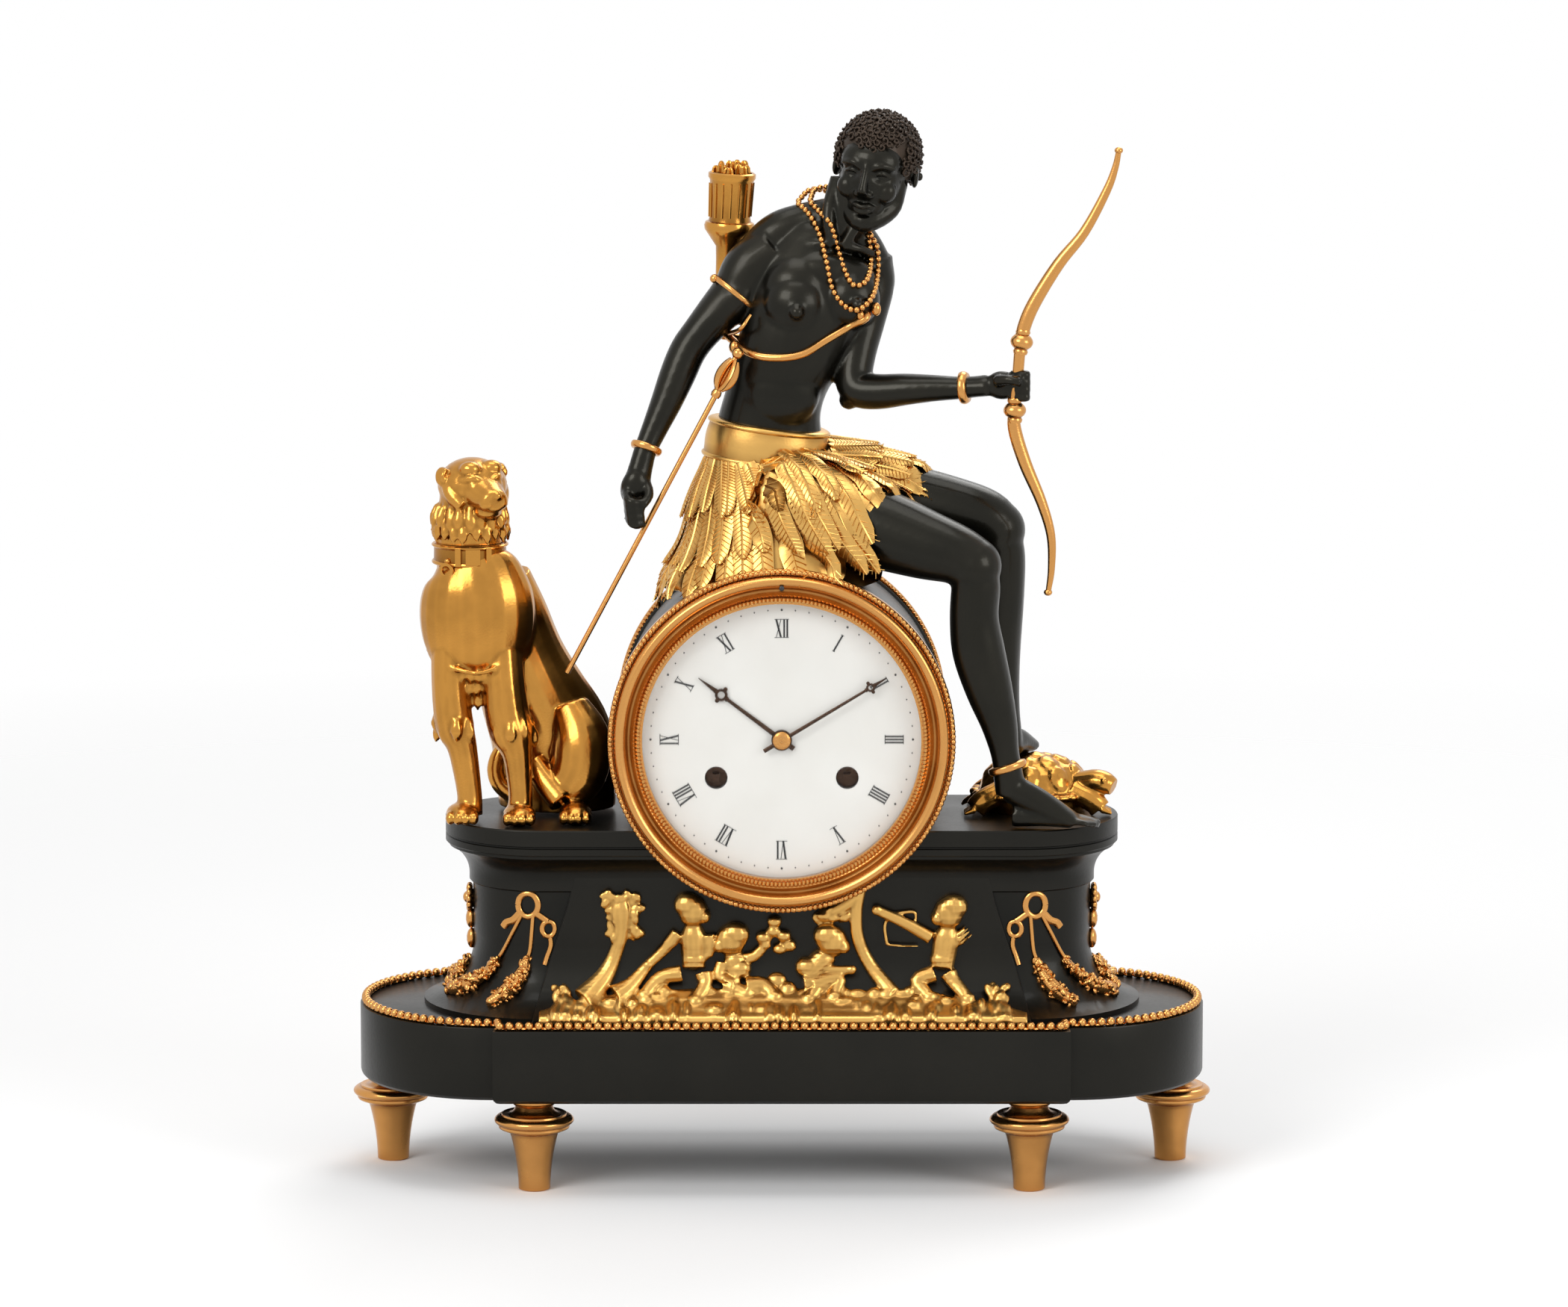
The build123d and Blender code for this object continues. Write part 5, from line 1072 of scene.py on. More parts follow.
def pushed(form, centre, radii, depth):
    """Presses a soft hollow back into the front of a form."""
    for vert in form.verts:
        offs = zip(vert.co, centre, radii)
        share = sum(((at - middle) / radius)**2 for at, middle, radius in offs)
        if share < 1:
            vert.co.y += depth * (1 - share)**2


for side in (-1, 1):
    pushed(head, (side * 6.4, -15.5, 1), (5, 6, 3.9), 2.8)
    pushed(head, (side * 13, -10, -12), (5, 8, 7), 1)
pushed(head, (0, -17.5, -10.2), (1.5, 4, 2.6), 0.6)
pushed(head, (0, -17, -16.6), (5, 5, 1.9), 1.3)
upper_lid = [(3, -15.2, 0.5), (5, -16.3, 2.2), (7.4, -16, 2.5), (10, -13.4, 0.9)]
lower_lid = [(3, -15.2, 0.4), (5.2, -15.9, -1), (7.6, -15.4, -1), (10, -13.4, 0.8)]
for side in (-1, 1):
    ball(head, (side * 6.5, -12.9, 0.9), (3.3, 2.9, 2.7), sides=20)
    for lid, radius in ((upper_lid, 0.75), (lower_lid, 0.55)):
        rod(head, [(side * x, y, z) for x, y, z in lid], radius, sides=8)
upper_lip = [(-5.2, -16, -13, 0.5, 0.7), (-2.6, -18.3, -12.2, 1.2, 1.3),
             (0, -18.9, -12.6, 1.2, 1.4)]
lower_lip = [(-4.8, -16, -13.6, 0.5, 0.7), (-2.2, -18, -14.7, 1.4, 1.4), (0, -18.4, -15, 1.5, 1.5)]
for lip in (upper_lip, lower_lip):
    limb(head, mirrored(lip), sides=10)
head_cast = cast(head, 0.42, 2)
head_cast.transform(head_place)
piece("huntress_head", head_cast, bronze, stands_for=["figure_head"],
      crease=180)

# %% Hair
curls = bmesh.new()
golden = pi * (3 - sqrt(5))
curl_count = 520
crown, scalp_radii = Vector((0, 3.5, 4.5)), Vector((17.9, 20.7, 18.9))
for number in range(curl_count):
    height = 1 - 2 * (number + 0.5) / curl_count
    ring = sqrt(1 - height * height)
    facing = Vector((ring * cos(golden * number), ring * sin(golden * number), height))
    hairline = 0.36 + 0.30 * abs(facing.x) if facing.y < 0 else -0.55
    if facing.y < 0 and abs(facing.x) > 0.80:
        hairline = -0.18
    if facing.z < hairline:
        continue
    spot = crown + facing * scalp_radii
    size = 1.75 + 0.5 * dice.random()
    twirl = dice.random() * 2 * pi
    out = facing.normalized()
    across = out.orthogonal().normalized()
    other = out.cross(across)
    turns = []
    for step in range(9):
        angle = twirl + step * 0.95
        reach = size * (1 - step / 11)
        turns.append(spot + (across * cos(angle) + other * sin(angle)) * reach
                     + out * (0.25 * step - 0.6))
    rod(curls, [head_place @ point for point in turns], 0.62, sides=5, per_span=1)
cap = bmesh.new()
ball(cap, (0, 4.2, 5), (17.6, 20.3, 18.6), sides=40)
trimmed(cap, (0, -13, 10), (0, -0.80, -0.60))
trimmed(cap, (0, 8, -12), (0, 0, -1))
bmesh.ops.transform(cap, matrix=head_place, verts=cap.verts)
piece("hair_cap", cap, hair_bronze, crease=180)
piece("hair_curls", curls, hair_bronze, crease=180)

# %% [markdown]
# ## The dress
# The belt and the skirt are gilt. The skirt is made as a costume maker would make it: a
# plain form first, then rows of feathers laid on it from the hem up, each overlapping the
# next. Every feather has a quill and fine barbs.

# %% Belt and feather skirt
belt_lean = Matrix.Translation((-6.5, -2.2, 325.4)) @ Matrix.Rotation(radians(8), 4, "Y")
waist_radius, waist_squash = 26.5, 0.79
belt = bmesh.new()
belt_profile = [(22, -9), (26.6, -9), (27.6, -8.6)]
belt_profile += bow_line((27.6, -8.6), (27.2, -6.6), -0.35, 4)
belt_profile += bow_line((26.9, -6.4), (26.2, 6.2), -0.06, 6)
belt_profile += bow_line((26.5, 6.4), (26.4, 8.4), -0.4, 4) + [(25.4, 8.8), (21, 8.8), (22, -9)]
turned(belt, belt_profile, (0, 0, 0), (0, 0, 1), steps=72)
bmesh.ops.transform(belt, matrix=belt_lean @ Matrix.Diagonal((1, waist_squash, 1, 1)),
                    verts=belt.verts)
piece("gilt_belt", belt, matte_gilt, stands_for=["belt"], crease=35)

lap = bmesh.new()
limb(lap, [(-6, -2, 322, 25, 19), (-5, -2.5, 312, 30, 23), (-4, -4, 298, 36, 28),
           (-2, -5, 284, 42, 33), (-1, -5, 272, 48, 37), (-1, -5, 262, 52, 39)], sides=32)
limb(lap, [(-4, -14, 299, 26, 25), (20, -22, 296, 23.5, 23), (42, -29, 290, 21, 20.5),
           (54, -33, 286.5, 19.5, 19)], sides=24)
limb(lap, [(0, 8, 302, 25, 24), (28, 3, 301, 22.5, 22), (50, -3, 299.5, 20, 19),
           (62, -5.5, 298, 17.5, 17)], sides=24)
lap_form = form_of(cast(lap, 1.6, 8))
lap_tree = BVHTree.FromBMesh(lap_form)
hem_keys = [(-180, -57, -6, 254), (-165, -54, -26, 257), (-148, -43, -40, 261),
            (-130, -27, -47, 265), (-112, -8, -50, 268), (-95, 12, -51, 269), (-78, 31, -51, 271),
            (-62, 47, -47, 277), (-45, 59, -37, 287), (-25, 67, -22, 300), (0, 69, -7, 311),
            (35, 63, 14, 306), (65, 40, 28, 288), (90, 0, 36, 270), (120, -32, 32, 265),
            (150, -52, 18, 258), (180, -57, -6, 254)]
hem_turns = [key[0] for key in hem_keys]


def hem_at(turn):
    """Where the skirt's hem lies in a direction round the waist, in degrees."""
    turn = (turn + 180) % 360 - 180
    return Vector([float(np.interp(turn, hem_turns, [key[axis] for key in hem_keys]))
                   for axis in (1, 2, 3)])


def waist_at(turn):
    """Where the skirt hangs from under the belt, in the same directions."""
    x, y = waist_radius * cos(radians(turn)), waist_radius * waist_squash * sin(radians(turn))
    return belt_lean @ Vector((x, y, -8))


lap_reach = 54.0


def drum_clear(point, gap):
    """Lifts a point off the drum, within the depth in which the skirt lies on it."""
    off = Vector((point.x, point.z - dial_z))
    if off.length < drum_radius + gap and abs(point.y) < lap_reach:
        off = off.normalized() * (drum_radius + gap)
        return Vector((off.x, point.y, off.y + dial_z))
    return point


def feather(form, turn, begin, end, half_width, lift, sway):
    """One feather from a share of the way down the skirt to another, lying on its form."""
    steps, quill_rise = 9, 0.55
    rows, ups, widths = [], [], []
    root, tip = waist_at(turn), hem_at(turn + sway)
    for step in range(steps + 1):
        along = step / steps
        share = begin + (end - begin) * along
        spot = root.lerp(tip, share) + Vector((0, 0, 5 * sin(pi * share)))
        found, normal, _, _ = lap_tree.find_nearest(spot)
        spot = spot.lerp(found, 1 - 0.65 * share**3)
        spot = spot + normal * (lift + 1.3 * along**2)
        rows.append(drum_clear(spot, 0.9 + lift * 0.5))
        ups.append(normal)
        swell = 0.55 + 0.55 * sin(pi * min(1, 0.18 + 0.72 * along))
        widths.append(half_width * swell * (1 if step < steps else 0.35))
    stations = [(*spot, width, 0.62) for spot, width in zip(rows, widths)]
    strand(form, stations, ups, sides=8, per_span=2)
    quill = [(*(spot + up * quill_rise), 0.55, 0.5) for spot, up in zip(rows, ups)]
    strand(form, quill, ups, sides=5, per_span=2)
    for step in range(1, steps):
        run, up = rows[step + 1] - rows[step], ups[step]
        side = run.cross(up).normalized() * widths[step] * 0.88
        for way in (-1, 1):
            for part in (0, 0.5):
                start = rows[step].lerp(rows[step + 1], part) + up * quill_rise
                end = start + side * way + run * 0.62 - up * 0.12
                limb(form, [(*start, 0.30, 0.34), (*end, 0.18, 0.2)], sides=4, per_span=1, up=up)


feathers = bmesh.new()
feather_rows = [(34, 0.30, 1, 5, 0.2, 0), (32, 0.22, 0.80, 4.6, 1.2, 5), (34, 0, 0.50, 3.9, 2.3, 2)]
for count, begin, end, half_width, lift, first in feather_rows:
    for number in range(count):
        turn = -180 + 360 * number / count + first + dice.uniform(-1.5, 1.5)
        feather(feathers, turn, begin + dice.uniform(-0.02, 0.02), end + dice.uniform(-0.045, 0.03),
                half_width * dice.uniform(0.92, 1.08), lift + dice.uniform(0, 0.5),
                dice.uniform(-4, 4))
piece("skirt_feathers", feathers, matte_gilt, stands_for=["feather_skirt"],
      crease=60)
trimmed(lap_form, (43, -20, 293), (0.86, -0.36, -0.36))
for vert in lap_form.verts:
    vert.co = drum_clear(vert.co, 0.6)
piece("skirt_form", mesh_of(lap_form), matte_gilt, crease=60)

# %% [markdown]
# ## Cord, necklace and bands
# What she wears lies on the bronze skin. A ray from the front, or from behind, finds where
# the skin is, and the cord and the beads are laid a little above it.

# %% Cord, necklace and bands
body_form = form_of(skin)
body_tree = BVHTree.FromBMesh(body_form)
body_form.free()


def on_skin(x, z, lift, from_back=False):
    """The point of the body seen at x and z, lifted off the skin. Millimetres."""
    way = -1 if from_back else 1
    found, normal, _, _ = body_tree.ray_cast(Vector((x, -90 * way, z)) * MM, Vector((0, way, 0)))
    if found is None:
        found, normal, _, _ = body_tree.find_nearest(Vector((x, 0, z)) * MM)
    return found / MM + normal * lift


cord = bmesh.new()
front_cord = [(-23, 371), (-14, 367.3), (-3.9, 365.8), (8.2, 367.3), (19.3, 373.5), (29.5, 379.6),
              (37, 384.5)]
back_cord = [(34, 390), (22, 384), (6, 377), (-8, 372.5), (-18, 371)]
cord_line = [on_skin(x, z, 0.9) for x, z in front_cord]
cord_line += [on_skin(x, z, 0.9, from_back=True) for x, z in back_cord]
cord_line.append(cord_line[0])
rod(cord, cord_line, 1.75, sides=10, up=(0, 0, 1))
for spot, size in ((cord_line[0], (3.6, 2.6, 2.6)), (on_skin(-19, 368.5, 1.8), (2.6, 2.6, 3.2)),
                   (on_skin(40, 387, 1.6), (2.2, 2, 3))):
    ball(cord, spot, size, sides=14)
limb(cord, [(*(cord_line[0] + Vector((1, -1, 0))), 1.3, 1.3), (-18, -20, 378, 1, 1),
            (-13.5, -19, 384, 0.7, 0.7)], sides=8)
piece("quiver_strap", cord, copper_gilt, stands_for=["quiver_cord"], crease=60)

necklace = bmesh.new()
outer = [(6.5, 432), (12, 426.5), (16.5, 418.6), (19.6, 406.3), (22.6, 395.5), (27.3, 389),
         (33.4, 387.8), (39, 392.5), (41.6, 402.2), (41, 411.5), (38, 418)]
inner = [(12.5, 431), (17, 427.5), (21.3, 423), (24.8, 413.5), (27.6, 402.8), (31.6, 397),
         (36.6, 399), (39, 407.4), (37.6, 416)]
for path, behind in ((outer, [(38, 2, 424), (34, 8.5, 429.5), (24, 10.5, 434), (13, 8, 436)]),
                     (inner, [(37, 3, 423), (33, 8, 431.5), (24, 9.5, 436.5), (15, 6, 436.5)])):
    line = [on_skin(x, z, 1) for x, z in path] + [Vector(point) for point in behind]
    line.append(line[0])
    for place, along in walk(smooth_line(line, 8), 2.75):
        ball(necklace, place, 1.36, sides=8)
ball(necklace, on_skin(33.8, 385.2, 1.4), (1.7, 1.6, 2.2), sides=10)
piece("bead_necklace", necklace, copper_gilt, stands_for=["necklace"], crease=60)


def band(form, centre, axis, radius, half_height, thick):
    """A rounded ring about an axis."""
    axis = Vector(axis).normalized()
    inner = radius - thick
    outside = bow_line((radius, -half_height), (radius, half_height), -0.22)
    profile = [(inner, -half_height), *outside, (inner, half_height), (inner, -half_height)]
    turned(form, profile, centre, axis, steps=40, across=axis.orthogonal().normalized())


bands = bmesh.new()
band(bands, (-20, -3, 391.5), (-0.62, -0.10, -0.78), 12.4, 1.3, 1.8)
ball(bands, (-29.5, -7, 398.5), 2, sides=12)
ball(bands, (-10.5, -9.5, 384.5), 1.8, sides=12)
band(bands, (-59.2, -20.8, 325.8), (-0.33, -0.28, -0.90), 6.4, 1.7, 1.8)
band(bands, (79.4, -28.1, 353.2), (1, -0.25, 0.1), 6.3, 2.1, 1.8)
band(bands, (98.9, -38.6, 187), (0.30, -0.10, -0.95), 7.9, 1.8, 1.8)
piece("arm_and_ankle_bands", bands, copper_gilt, stands_for=["bracelets"], crease=60)
earring = bmesh.new()
ball(earring, (60.2, -4, 443), (1.5, 1.5, 1.9), sides=12)
piece("ear_drop", earring, bronze)

# %% [markdown]
# ## Quiver, arrow and bow
# The quiver is a turned tube with a rolled mouth and a ring, and the feathered ends of the
# arrows stand in it. The arrow she holds has its feathers bound below the nock. The bow is
# one curved limb with two turned knobs beside the grip.

# %% Quiver, arrow and bow
quiver = bmesh.new()
quiver_foot, quiver_mouth = Vector((-25.6, 14.6, 370)), Vector((-21.4, 14.6, 449))
quiver_axis = (quiver_mouth - quiver_foot).normalized()
quiver_profile = [(0, -1), (2.4, 0), (3.4, 2), (2.2, 5), (4.2, 9), (4.8, 20), (5.2, 34), (5.6, 40),
                  (9, 44.5), (10.9, 47), (11.2, 48.8), (10.7, 50.4), (9.4, 51), (9, 53), (9.2, 62),
                  (9.7, 69), (10.5, 70.2), (10.5, 72), (9.6, 72.6), (8.8, 72.4), (8.6, 66), (0, 66)]
turned(quiver, quiver_profile, quiver_foot, quiver_axis, steps=48)
arrow_count, wire_count = 19, 16
feather_foot, feather_tall, feather_spread = 65, 12, 7.6
for number in range(arrow_count):
    turn = golden * number
    reach = feather_spread * sqrt((number + 0.5) / arrow_count)
    base = quiver_foot + quiver_axis * feather_foot
    base += Vector((reach * cos(turn), reach * sin(turn), 0))
    tall = feather_tall + dice.uniform(-1.5, 1.5)
    for blade in range(3):
        facing = Vector((cos(turn + 2.09 * blade), sin(turn + 2.09 * blade), 0))
        vane = ((0, 0.5, 1), (0.5, 0.5, 1.9), (0.9, 0.5, 1.5), (1, 0.4, 0.4))
        limb(quiver, [(*(base + quiver_axis * tall * share), *halves) for share, *halves in vane],
             sides=6, per_span=2, up=facing)
for number in range(wire_count):
    turn = 2 * pi * number / wire_count
    out = Vector((cos(turn), sin(turn), 0))
    wire = [quiver_foot + quiver_axis * at + out * reach
            for at, reach in ((53.5, 9.1), (68.5, 9.6))]
    rod(quiver, wire, 0.5, sides=5, per_span=1)
piece("quiver_casting", quiver, bright_gilt, stands_for=["quiver"], crease=45)

arrow = bmesh.new()
arrow_tail, arrow_tip = Vector((-19.4, -22.7, 367.1)), Vector((-94, -32.4, 227.8))
arrow_way = (arrow_tip - arrow_tail).normalized()
limb(arrow, [(*arrow_tail, 1.2, 1.2), (*arrow_tip, 1.15, 1.15)], sides=12, per_span=10)
arrow_side = arrow_way.orthogonal().normalized()
ball(arrow, arrow_tail - arrow_way * 0.5, 2.6)
for blade in range(5):
    turn = Matrix.Rotation(2 * pi * blade / 5, 3, arrow_way)
    out = turn @ arrow_side
    vane = [(arrow_tail + arrow_way * at + out * lift, wide) for at, lift, wide in
            ((3, 1.4, 1.2), (6, 2.4, 1.9), (10, 3, 2.3), (14, 2.6, 2), (17.5, 1.2, 0.8))]
    limb(arrow, [(*spot, 1, wide) for spot, wide in vane], sides=8, per_span=4, up=out)
turned(arrow, [(0, -2), (1.9, -1.6), (2.3, 0), (1.9, 1.6), (0, 2)], arrow_tail + arrow_way * 19.5,
       arrow_way, steps=24, across=arrow_side)
piece("arrow_in_hand", arrow, copper_gilt, stands_for=["arrow"], crease=50)

bow = bmesh.new()
bow_places = [(145.9, 457.8, 1.2), (144.4, 450.5, 1.5), (140.7, 440.4, 1.9), (131.2, 422.6, 2.3),
              (120.1, 408.6, 2.7), (109.6, 391.5, 3), (105.1, 380.5, 3), (103.6, 372, 2.6),
              (102.6, 359, 2.5), (101.5, 346, 2.6), (101.3, 336.7, 3), (106, 321.3, 2.9),
              (113.2, 304.2, 2.4), (117.4, 289.5, 2), (117.7, 275, 1.6), (116.4, 264.6, 1.2)]
bow_y = -37.8
limb(bow, [(x, bow_y, z, half, half * 0.85) for x, z, half in bow_places], sides=14, per_span=5)
knob = [(0, -6), (2.9, -5.4), (3.3, -4.2), (2.8, -3.2), *bow_line((3.2, -3), (3.2, 3), -0.30, 8),
        (2.8, 3.2), (3.3, 4.2), (2.9, 5.4), (0, 6)]
for x, z, axis in ((104.3, 374.6, (0.13, 0, 0.99)), (101.4, 344.6, (-0.02, 0, 1))):
    turned(bow, knob, (x, bow_y, z), Vector(axis).normalized(), steps=32, across=(0, 1, 0))
for x, z in ((145.9, 458), (116.3, 264.4)):
    ball(bow, (x, bow_y, z), (1.9, 1.8, 1.5), sides=12)
piece("bow_casting", bow, copper_gilt, stands_for=["bow"], crease=50)

# %% [markdown]
# ## The lioness
# The lioness is modelled the way a sculptor builds in wax: long forms for the trunk and
# legs, round ones for the skull and paws, then tufts of fur, all melted into one skin. She
# sits upright and turns her head a little towards the huntress.

# %% Lioness and collar
wax = bmesh.new()
limb(wax, [(-136.5, -6, 274, 16, 13), (-135, -8, 268, 21, 15), (-134.3, -9, 260, 24.5, 17),
           (-134, -9, 250, 25.6, 18), (-134, -8.5, 240, 24.5, 17.5), (-134, -7, 231, 21.5, 16.5)],
     sides=24)
limb(wax, [(-134, -6, 236, 18, 15), (-133.5, -6, 220, 14, 12), (-133, -5, 211, 10, 10)], sides=18)
limb(wax, [(-130, 0, 262, 20, 14), (-124, 4, 246, 21, 17), (-117, 8, 228, 21, 19),
           (-110, 10, 210, 24, 21), (-102.5, 11, 192, 27, 21), (-100, 11, 175, 26.5, 22),
           (-100, 11, 161, 26, 21)], sides=24)
limb(wax, [(-145, -12, 240, 9.5, 10), (-146, -14, 224, 8.5, 10), (-145, -16, 208, 8.6, 9.5),
           (-143.5, -17, 200, 8.4, 8.6), (-141, -18, 193, 6.8, 7), (-139, -19, 182, 6, 6.4),
           (-137.5, -20, 170, 5.6, 6), (-138, -21, 163, 6.4, 7)])
limb(wax, [(-124, -12, 240, 9.5, 10), (-122.5, -16, 222, 9.5, 10.5), (-121, -18, 208, 10, 10.5),
           (-118.5, -20, 198, 9.8, 9.6), (-116.5, -21, 190, 6.8, 7), (-115.5, -22, 180, 5.8, 6.4),
           (-115, -23, 170, 5.4, 6), (-115.5, -24, 163, 6.4, 7)])
limb(wax, [(-94, -3, 208, 9, 9), (-88.5, -8, 194, 13, 12), (-90, -11, 180, 13, 11.5),
           (-97, -13, 170, 11, 9)], sides=18)
limb(wax, [(-110, -10, 184, 5.5, 5.5), (-104, -15, 176, 6, 6), (-97, -20, 168, 6, 6)])
limb(wax, [(-118, 6, 190, 3.4, 3.4), (-124, 2, 187, 3.6, 3.6), (-127, 0, 180, 3.6, 3.6),
           (-125.5, -1, 173, 3.6, 3.6), (-120, -2, 168, 3.6, 3.6), (-113, -4, 165, 3.2, 3.2)])
for x, y in ((-140.5, -24), (-115.4, -27), (-90.8, -24)):
    ball(wax, (x, y, 164), (7.4, 9, 4.6))
    for toe in (-1.5, -0.5, 0.5, 1.5):
        ball(wax, (x + toe * 3.5, y - 7.6 + abs(toe) * 0.9, 162.8), (2.2, 4, 3.2), sides=10)
limb(wax, [(-137, -5, 270, 15, 13), (-137.5, -6, 282, 14.6, 13), (-137, -7, 292, 14.2, 13),
           (-136, -7, 302, 14.5, 13.5)], sides=20)
muzzle_way, muzzle_side = Vector((0.5, -0.866, 0)), Vector((0.866, 0.5, 0))
skull = Vector((-136, -7.5, 307.5))
ball(wax, skull, (15.4, 14.6, 12.2), sides=24)


def on_head(out, aside, up):
    """A place on the animal's head, from the middle of the skull."""
    return skull + muzzle_way * out + muzzle_side * aside + Vector((0, 0, up))


muzzle = [(4, -1, 11.5, 9.5), (11, -2.5, 9.4, 7.8), (17, -4, 7.6, 6.4), (21.5, -4.8, 6.2, 5.2),
          (23, -5, 4.6, 3.8)]
limb(wax, [(*on_head(out, 0, rise), *halves) for out, rise, *halves in muzzle], sides=18,
     up=(0, 0, 1))
ball(wax, on_head(15, 0, -10), (6, 6.4, 3.4))
ball(wax, on_head(22.6, 0, -2.2), (2.6, 1.8, 1.8), sides=10)
for side in (-1, 1):
    ball(wax, on_head(19.5, side * 3.4, -5.6), (3.7, 3.9, 3.4), sides=12)
    ball(wax, on_head(12.4, side * 6.3, 1.8), (1.9, 1.9, 1.7), sides=10)
    brow = [(13.5, 2.6, 3.4, 1.1, 1.3), (12.4, 6.4, 5, 1.3, 1.5), (8.6, 10.2, 3.6, 0.9, 1)]
    limb(wax, [(*on_head(out, side * aside, up), *halves) for out, aside, up, *halves in brow],
         sides=8)
    cheek = [on_head(9, side * 9.6, -8), on_head(4, side * 12.2, -3), on_head(0, side * 12.6, 2)]
    rod(wax, cheek, 3, (1, 1.2, 1), sides=10)
    ball(wax, on_head(-1, side * 14.2, 4.4), (3.4, 2.8, 4.6), sides=12)
    ear_rim = [on_head(1.6, side * 12.8, 1), on_head(2, side * 15.8, 4.6),
               on_head(1.4, side * 13.6, 8.4)]
    rod(wax, ear_rim, 0.9, sides=8)
    ball(wax, on_head(8, side * 5.2, 8.2), (5, 4.4, 3.6), sides=12)


def tuft(form, start, end, wide):
    """A lock of fur that ends in a point."""
    start, end = Vector(start), Vector(end)
    bend = start.lerp(end, 0.55) + Vector((0, -1.2, 0))
    limb(form, [(*start, wide * 0.6, wide * 0.5), (*bend, wide, wide * 0.6), (*end, 0.35, 0.35)],
         sides=8, per_span=3)


for row, (height, drop, reach) in enumerate(((299, 11, 14.4), (293, 10, 14.8))):
    for number in range(20):
        turn = 2 * pi * (number + 0.5 * row) / 20
        out = Vector((cos(turn), sin(turn) * 0.92, 0))
        top = Vector((-136.8, -7, height)) + out * reach
        fall = Vector((dice.uniform(-1.5, 1.5), 0, -drop + dice.uniform(-1.5, 1.5)))
        tuft(wax, top, top + out * 1.8 + fall, 2.3)
for row, (height, count, spread) in enumerate(((229, 9, 15), (223, 7, 12), (216.5, 5, 8.5))):
    for number in range(count):
        share = (number + 0.5) / count * 2 - 1
        top = Vector((-133.6 + spread * share, -22 + 5 * share**2 + row * 2.6, height))
        tuft(wax, top, top + Vector((dice.uniform(-1.5, 1.5), 1, -8.5)), 2.1)
elbow_tufts = [(-151.5, -14, 208, -1), (-150.5, -10, 203, -2), (-148, -20, 205, -1),
               (-143, -25, 206, 0), (-138, -22, 205, 1), (-114, -25, 206, 1), (-110.5, -20, 203, 2),
               (-112, -14, 207, 2), (-119, -28, 205, 0), (-124, -25, 206, -1)]
for x, y, z, lean in elbow_tufts:
    tuft(wax, (x, y, z), (x + lean * 1.2, y, z - 10.5), 2.6)
ruff = [(-156, -5, 234), (-153, -15, 231), (-147, -21.5, 229), (-140, -25, 227.5),
        (-133.5, -26, 226.6), (-127, -25, 228), (-121, -21.5, 230), (-114, -14, 233),
        (-110.5, -6, 236)]
rod(wax, ruff, 1.2, sides=8)
piece("lioness_casting", cast(wax, 0.75, 3), bright_gilt, stands_for=["lioness"],
      crease=60)

collar = bmesh.new()
collar_form = bmesh.new()
collar_profile = [(14.4, -4.6), (16, -4.6), *bow_line((16, -4.6), (16.3, -3), -0.3, 3),
                  (15.7, -2.7), (15.6, 2.7), *bow_line((16.3, 3), (16, 4.6), -0.3, 3), (14.4, 4.6),
                  (14.4, -4.6)]
turned(collar_form, collar_profile, (0, 0, 0), (0, 0, 1), steps=56)
collar_place = Matrix.Translation((-137.2, -6.2, 277.2)) @ Matrix.Diagonal((1.02, 0.95, 1, 1))
poured(collar, collar_form, collar_place)


def block(form, centre, size, turn):
    """A small plate, turned about the upright by an angle in degrees."""
    place = Matrix.Translation(centre) @ Matrix.Rotation(radians(turn), 4, "Z")
    bmesh.ops.create_cube(form, size=1, matrix=place @ Matrix.Diagonal((*size, 1)))


for x, y, turn in ((-141.8, -21.2, -16), (-128.8, -19.4, 32)):
    block(collar, (x, y, 277.2), (2.6, 1.6, 8), turn)
block(collar, (-135.4, -21.7, 277.2), (6.4, 1, 7), 4)
band(collar, (-147, -19.4, 271.2), (0.5, 0.85, 0.1), 3.3, 0.6, 1.2)
ball(collar, (-146.6, -18.4, 275), (1.5, 1.4, 1.5), sides=10)
piece("lioness_neckband", collar, bright_gilt, stands_for=["lioness_collar"],
      crease=35)

# %% [markdown]
# ## The tortoise
# The shell is a flattened dome with raised plates: one on top, a ring of six round it and a
# ring of nine below, with small ones at the rim. The legs and the head come out from under
# it.

# %% Tortoise
clay = bmesh.new()
shell_middle = Vector((112.5, 7, 167.5))
shell_radii = Vector((25, 18.5, 17))
ball(clay, shell_middle, shell_radii, sides=32)


def on_shell(turn, rise, lift):
    """A place on the shell from a turn and a rise, both in degrees."""
    turn, rise = radians(turn), radians(rise)
    way = Vector((cos(turn) * cos(rise), sin(turn) * cos(rise), sin(rise)))
    spot = way * shell_radii
    return shell_middle + spot + spot.normalized() * lift


plates = [(0, 90)] + [(turn, 58) for turn in range(0, 360, 60)]
plates += [(turn + 20, 31) for turn in range(0, 360, 40)]
for turn, rise in plates:
    spot = on_shell(turn, rise, -1.3)
    ball(clay, spot, (6.4, 5.2, 2.3), turn=(0, 90 - rise, turn), sides=12)
    ball(clay, on_shell(turn, rise, 0.5), (2.6, 2.1, 0.9), turn=(0, 90 - rise, turn), sides=8)
rim_long, rim_wide = 25, 18.2


def on_rim(turn, out, height):
    """A place round the edge of the shell, a little outside it, from a turn in degrees."""
    turn = radians(turn)
    x = shell_middle.x + (rim_long + out) * cos(turn)
    return x, shell_middle.y + (rim_wide + out) * sin(turn), height


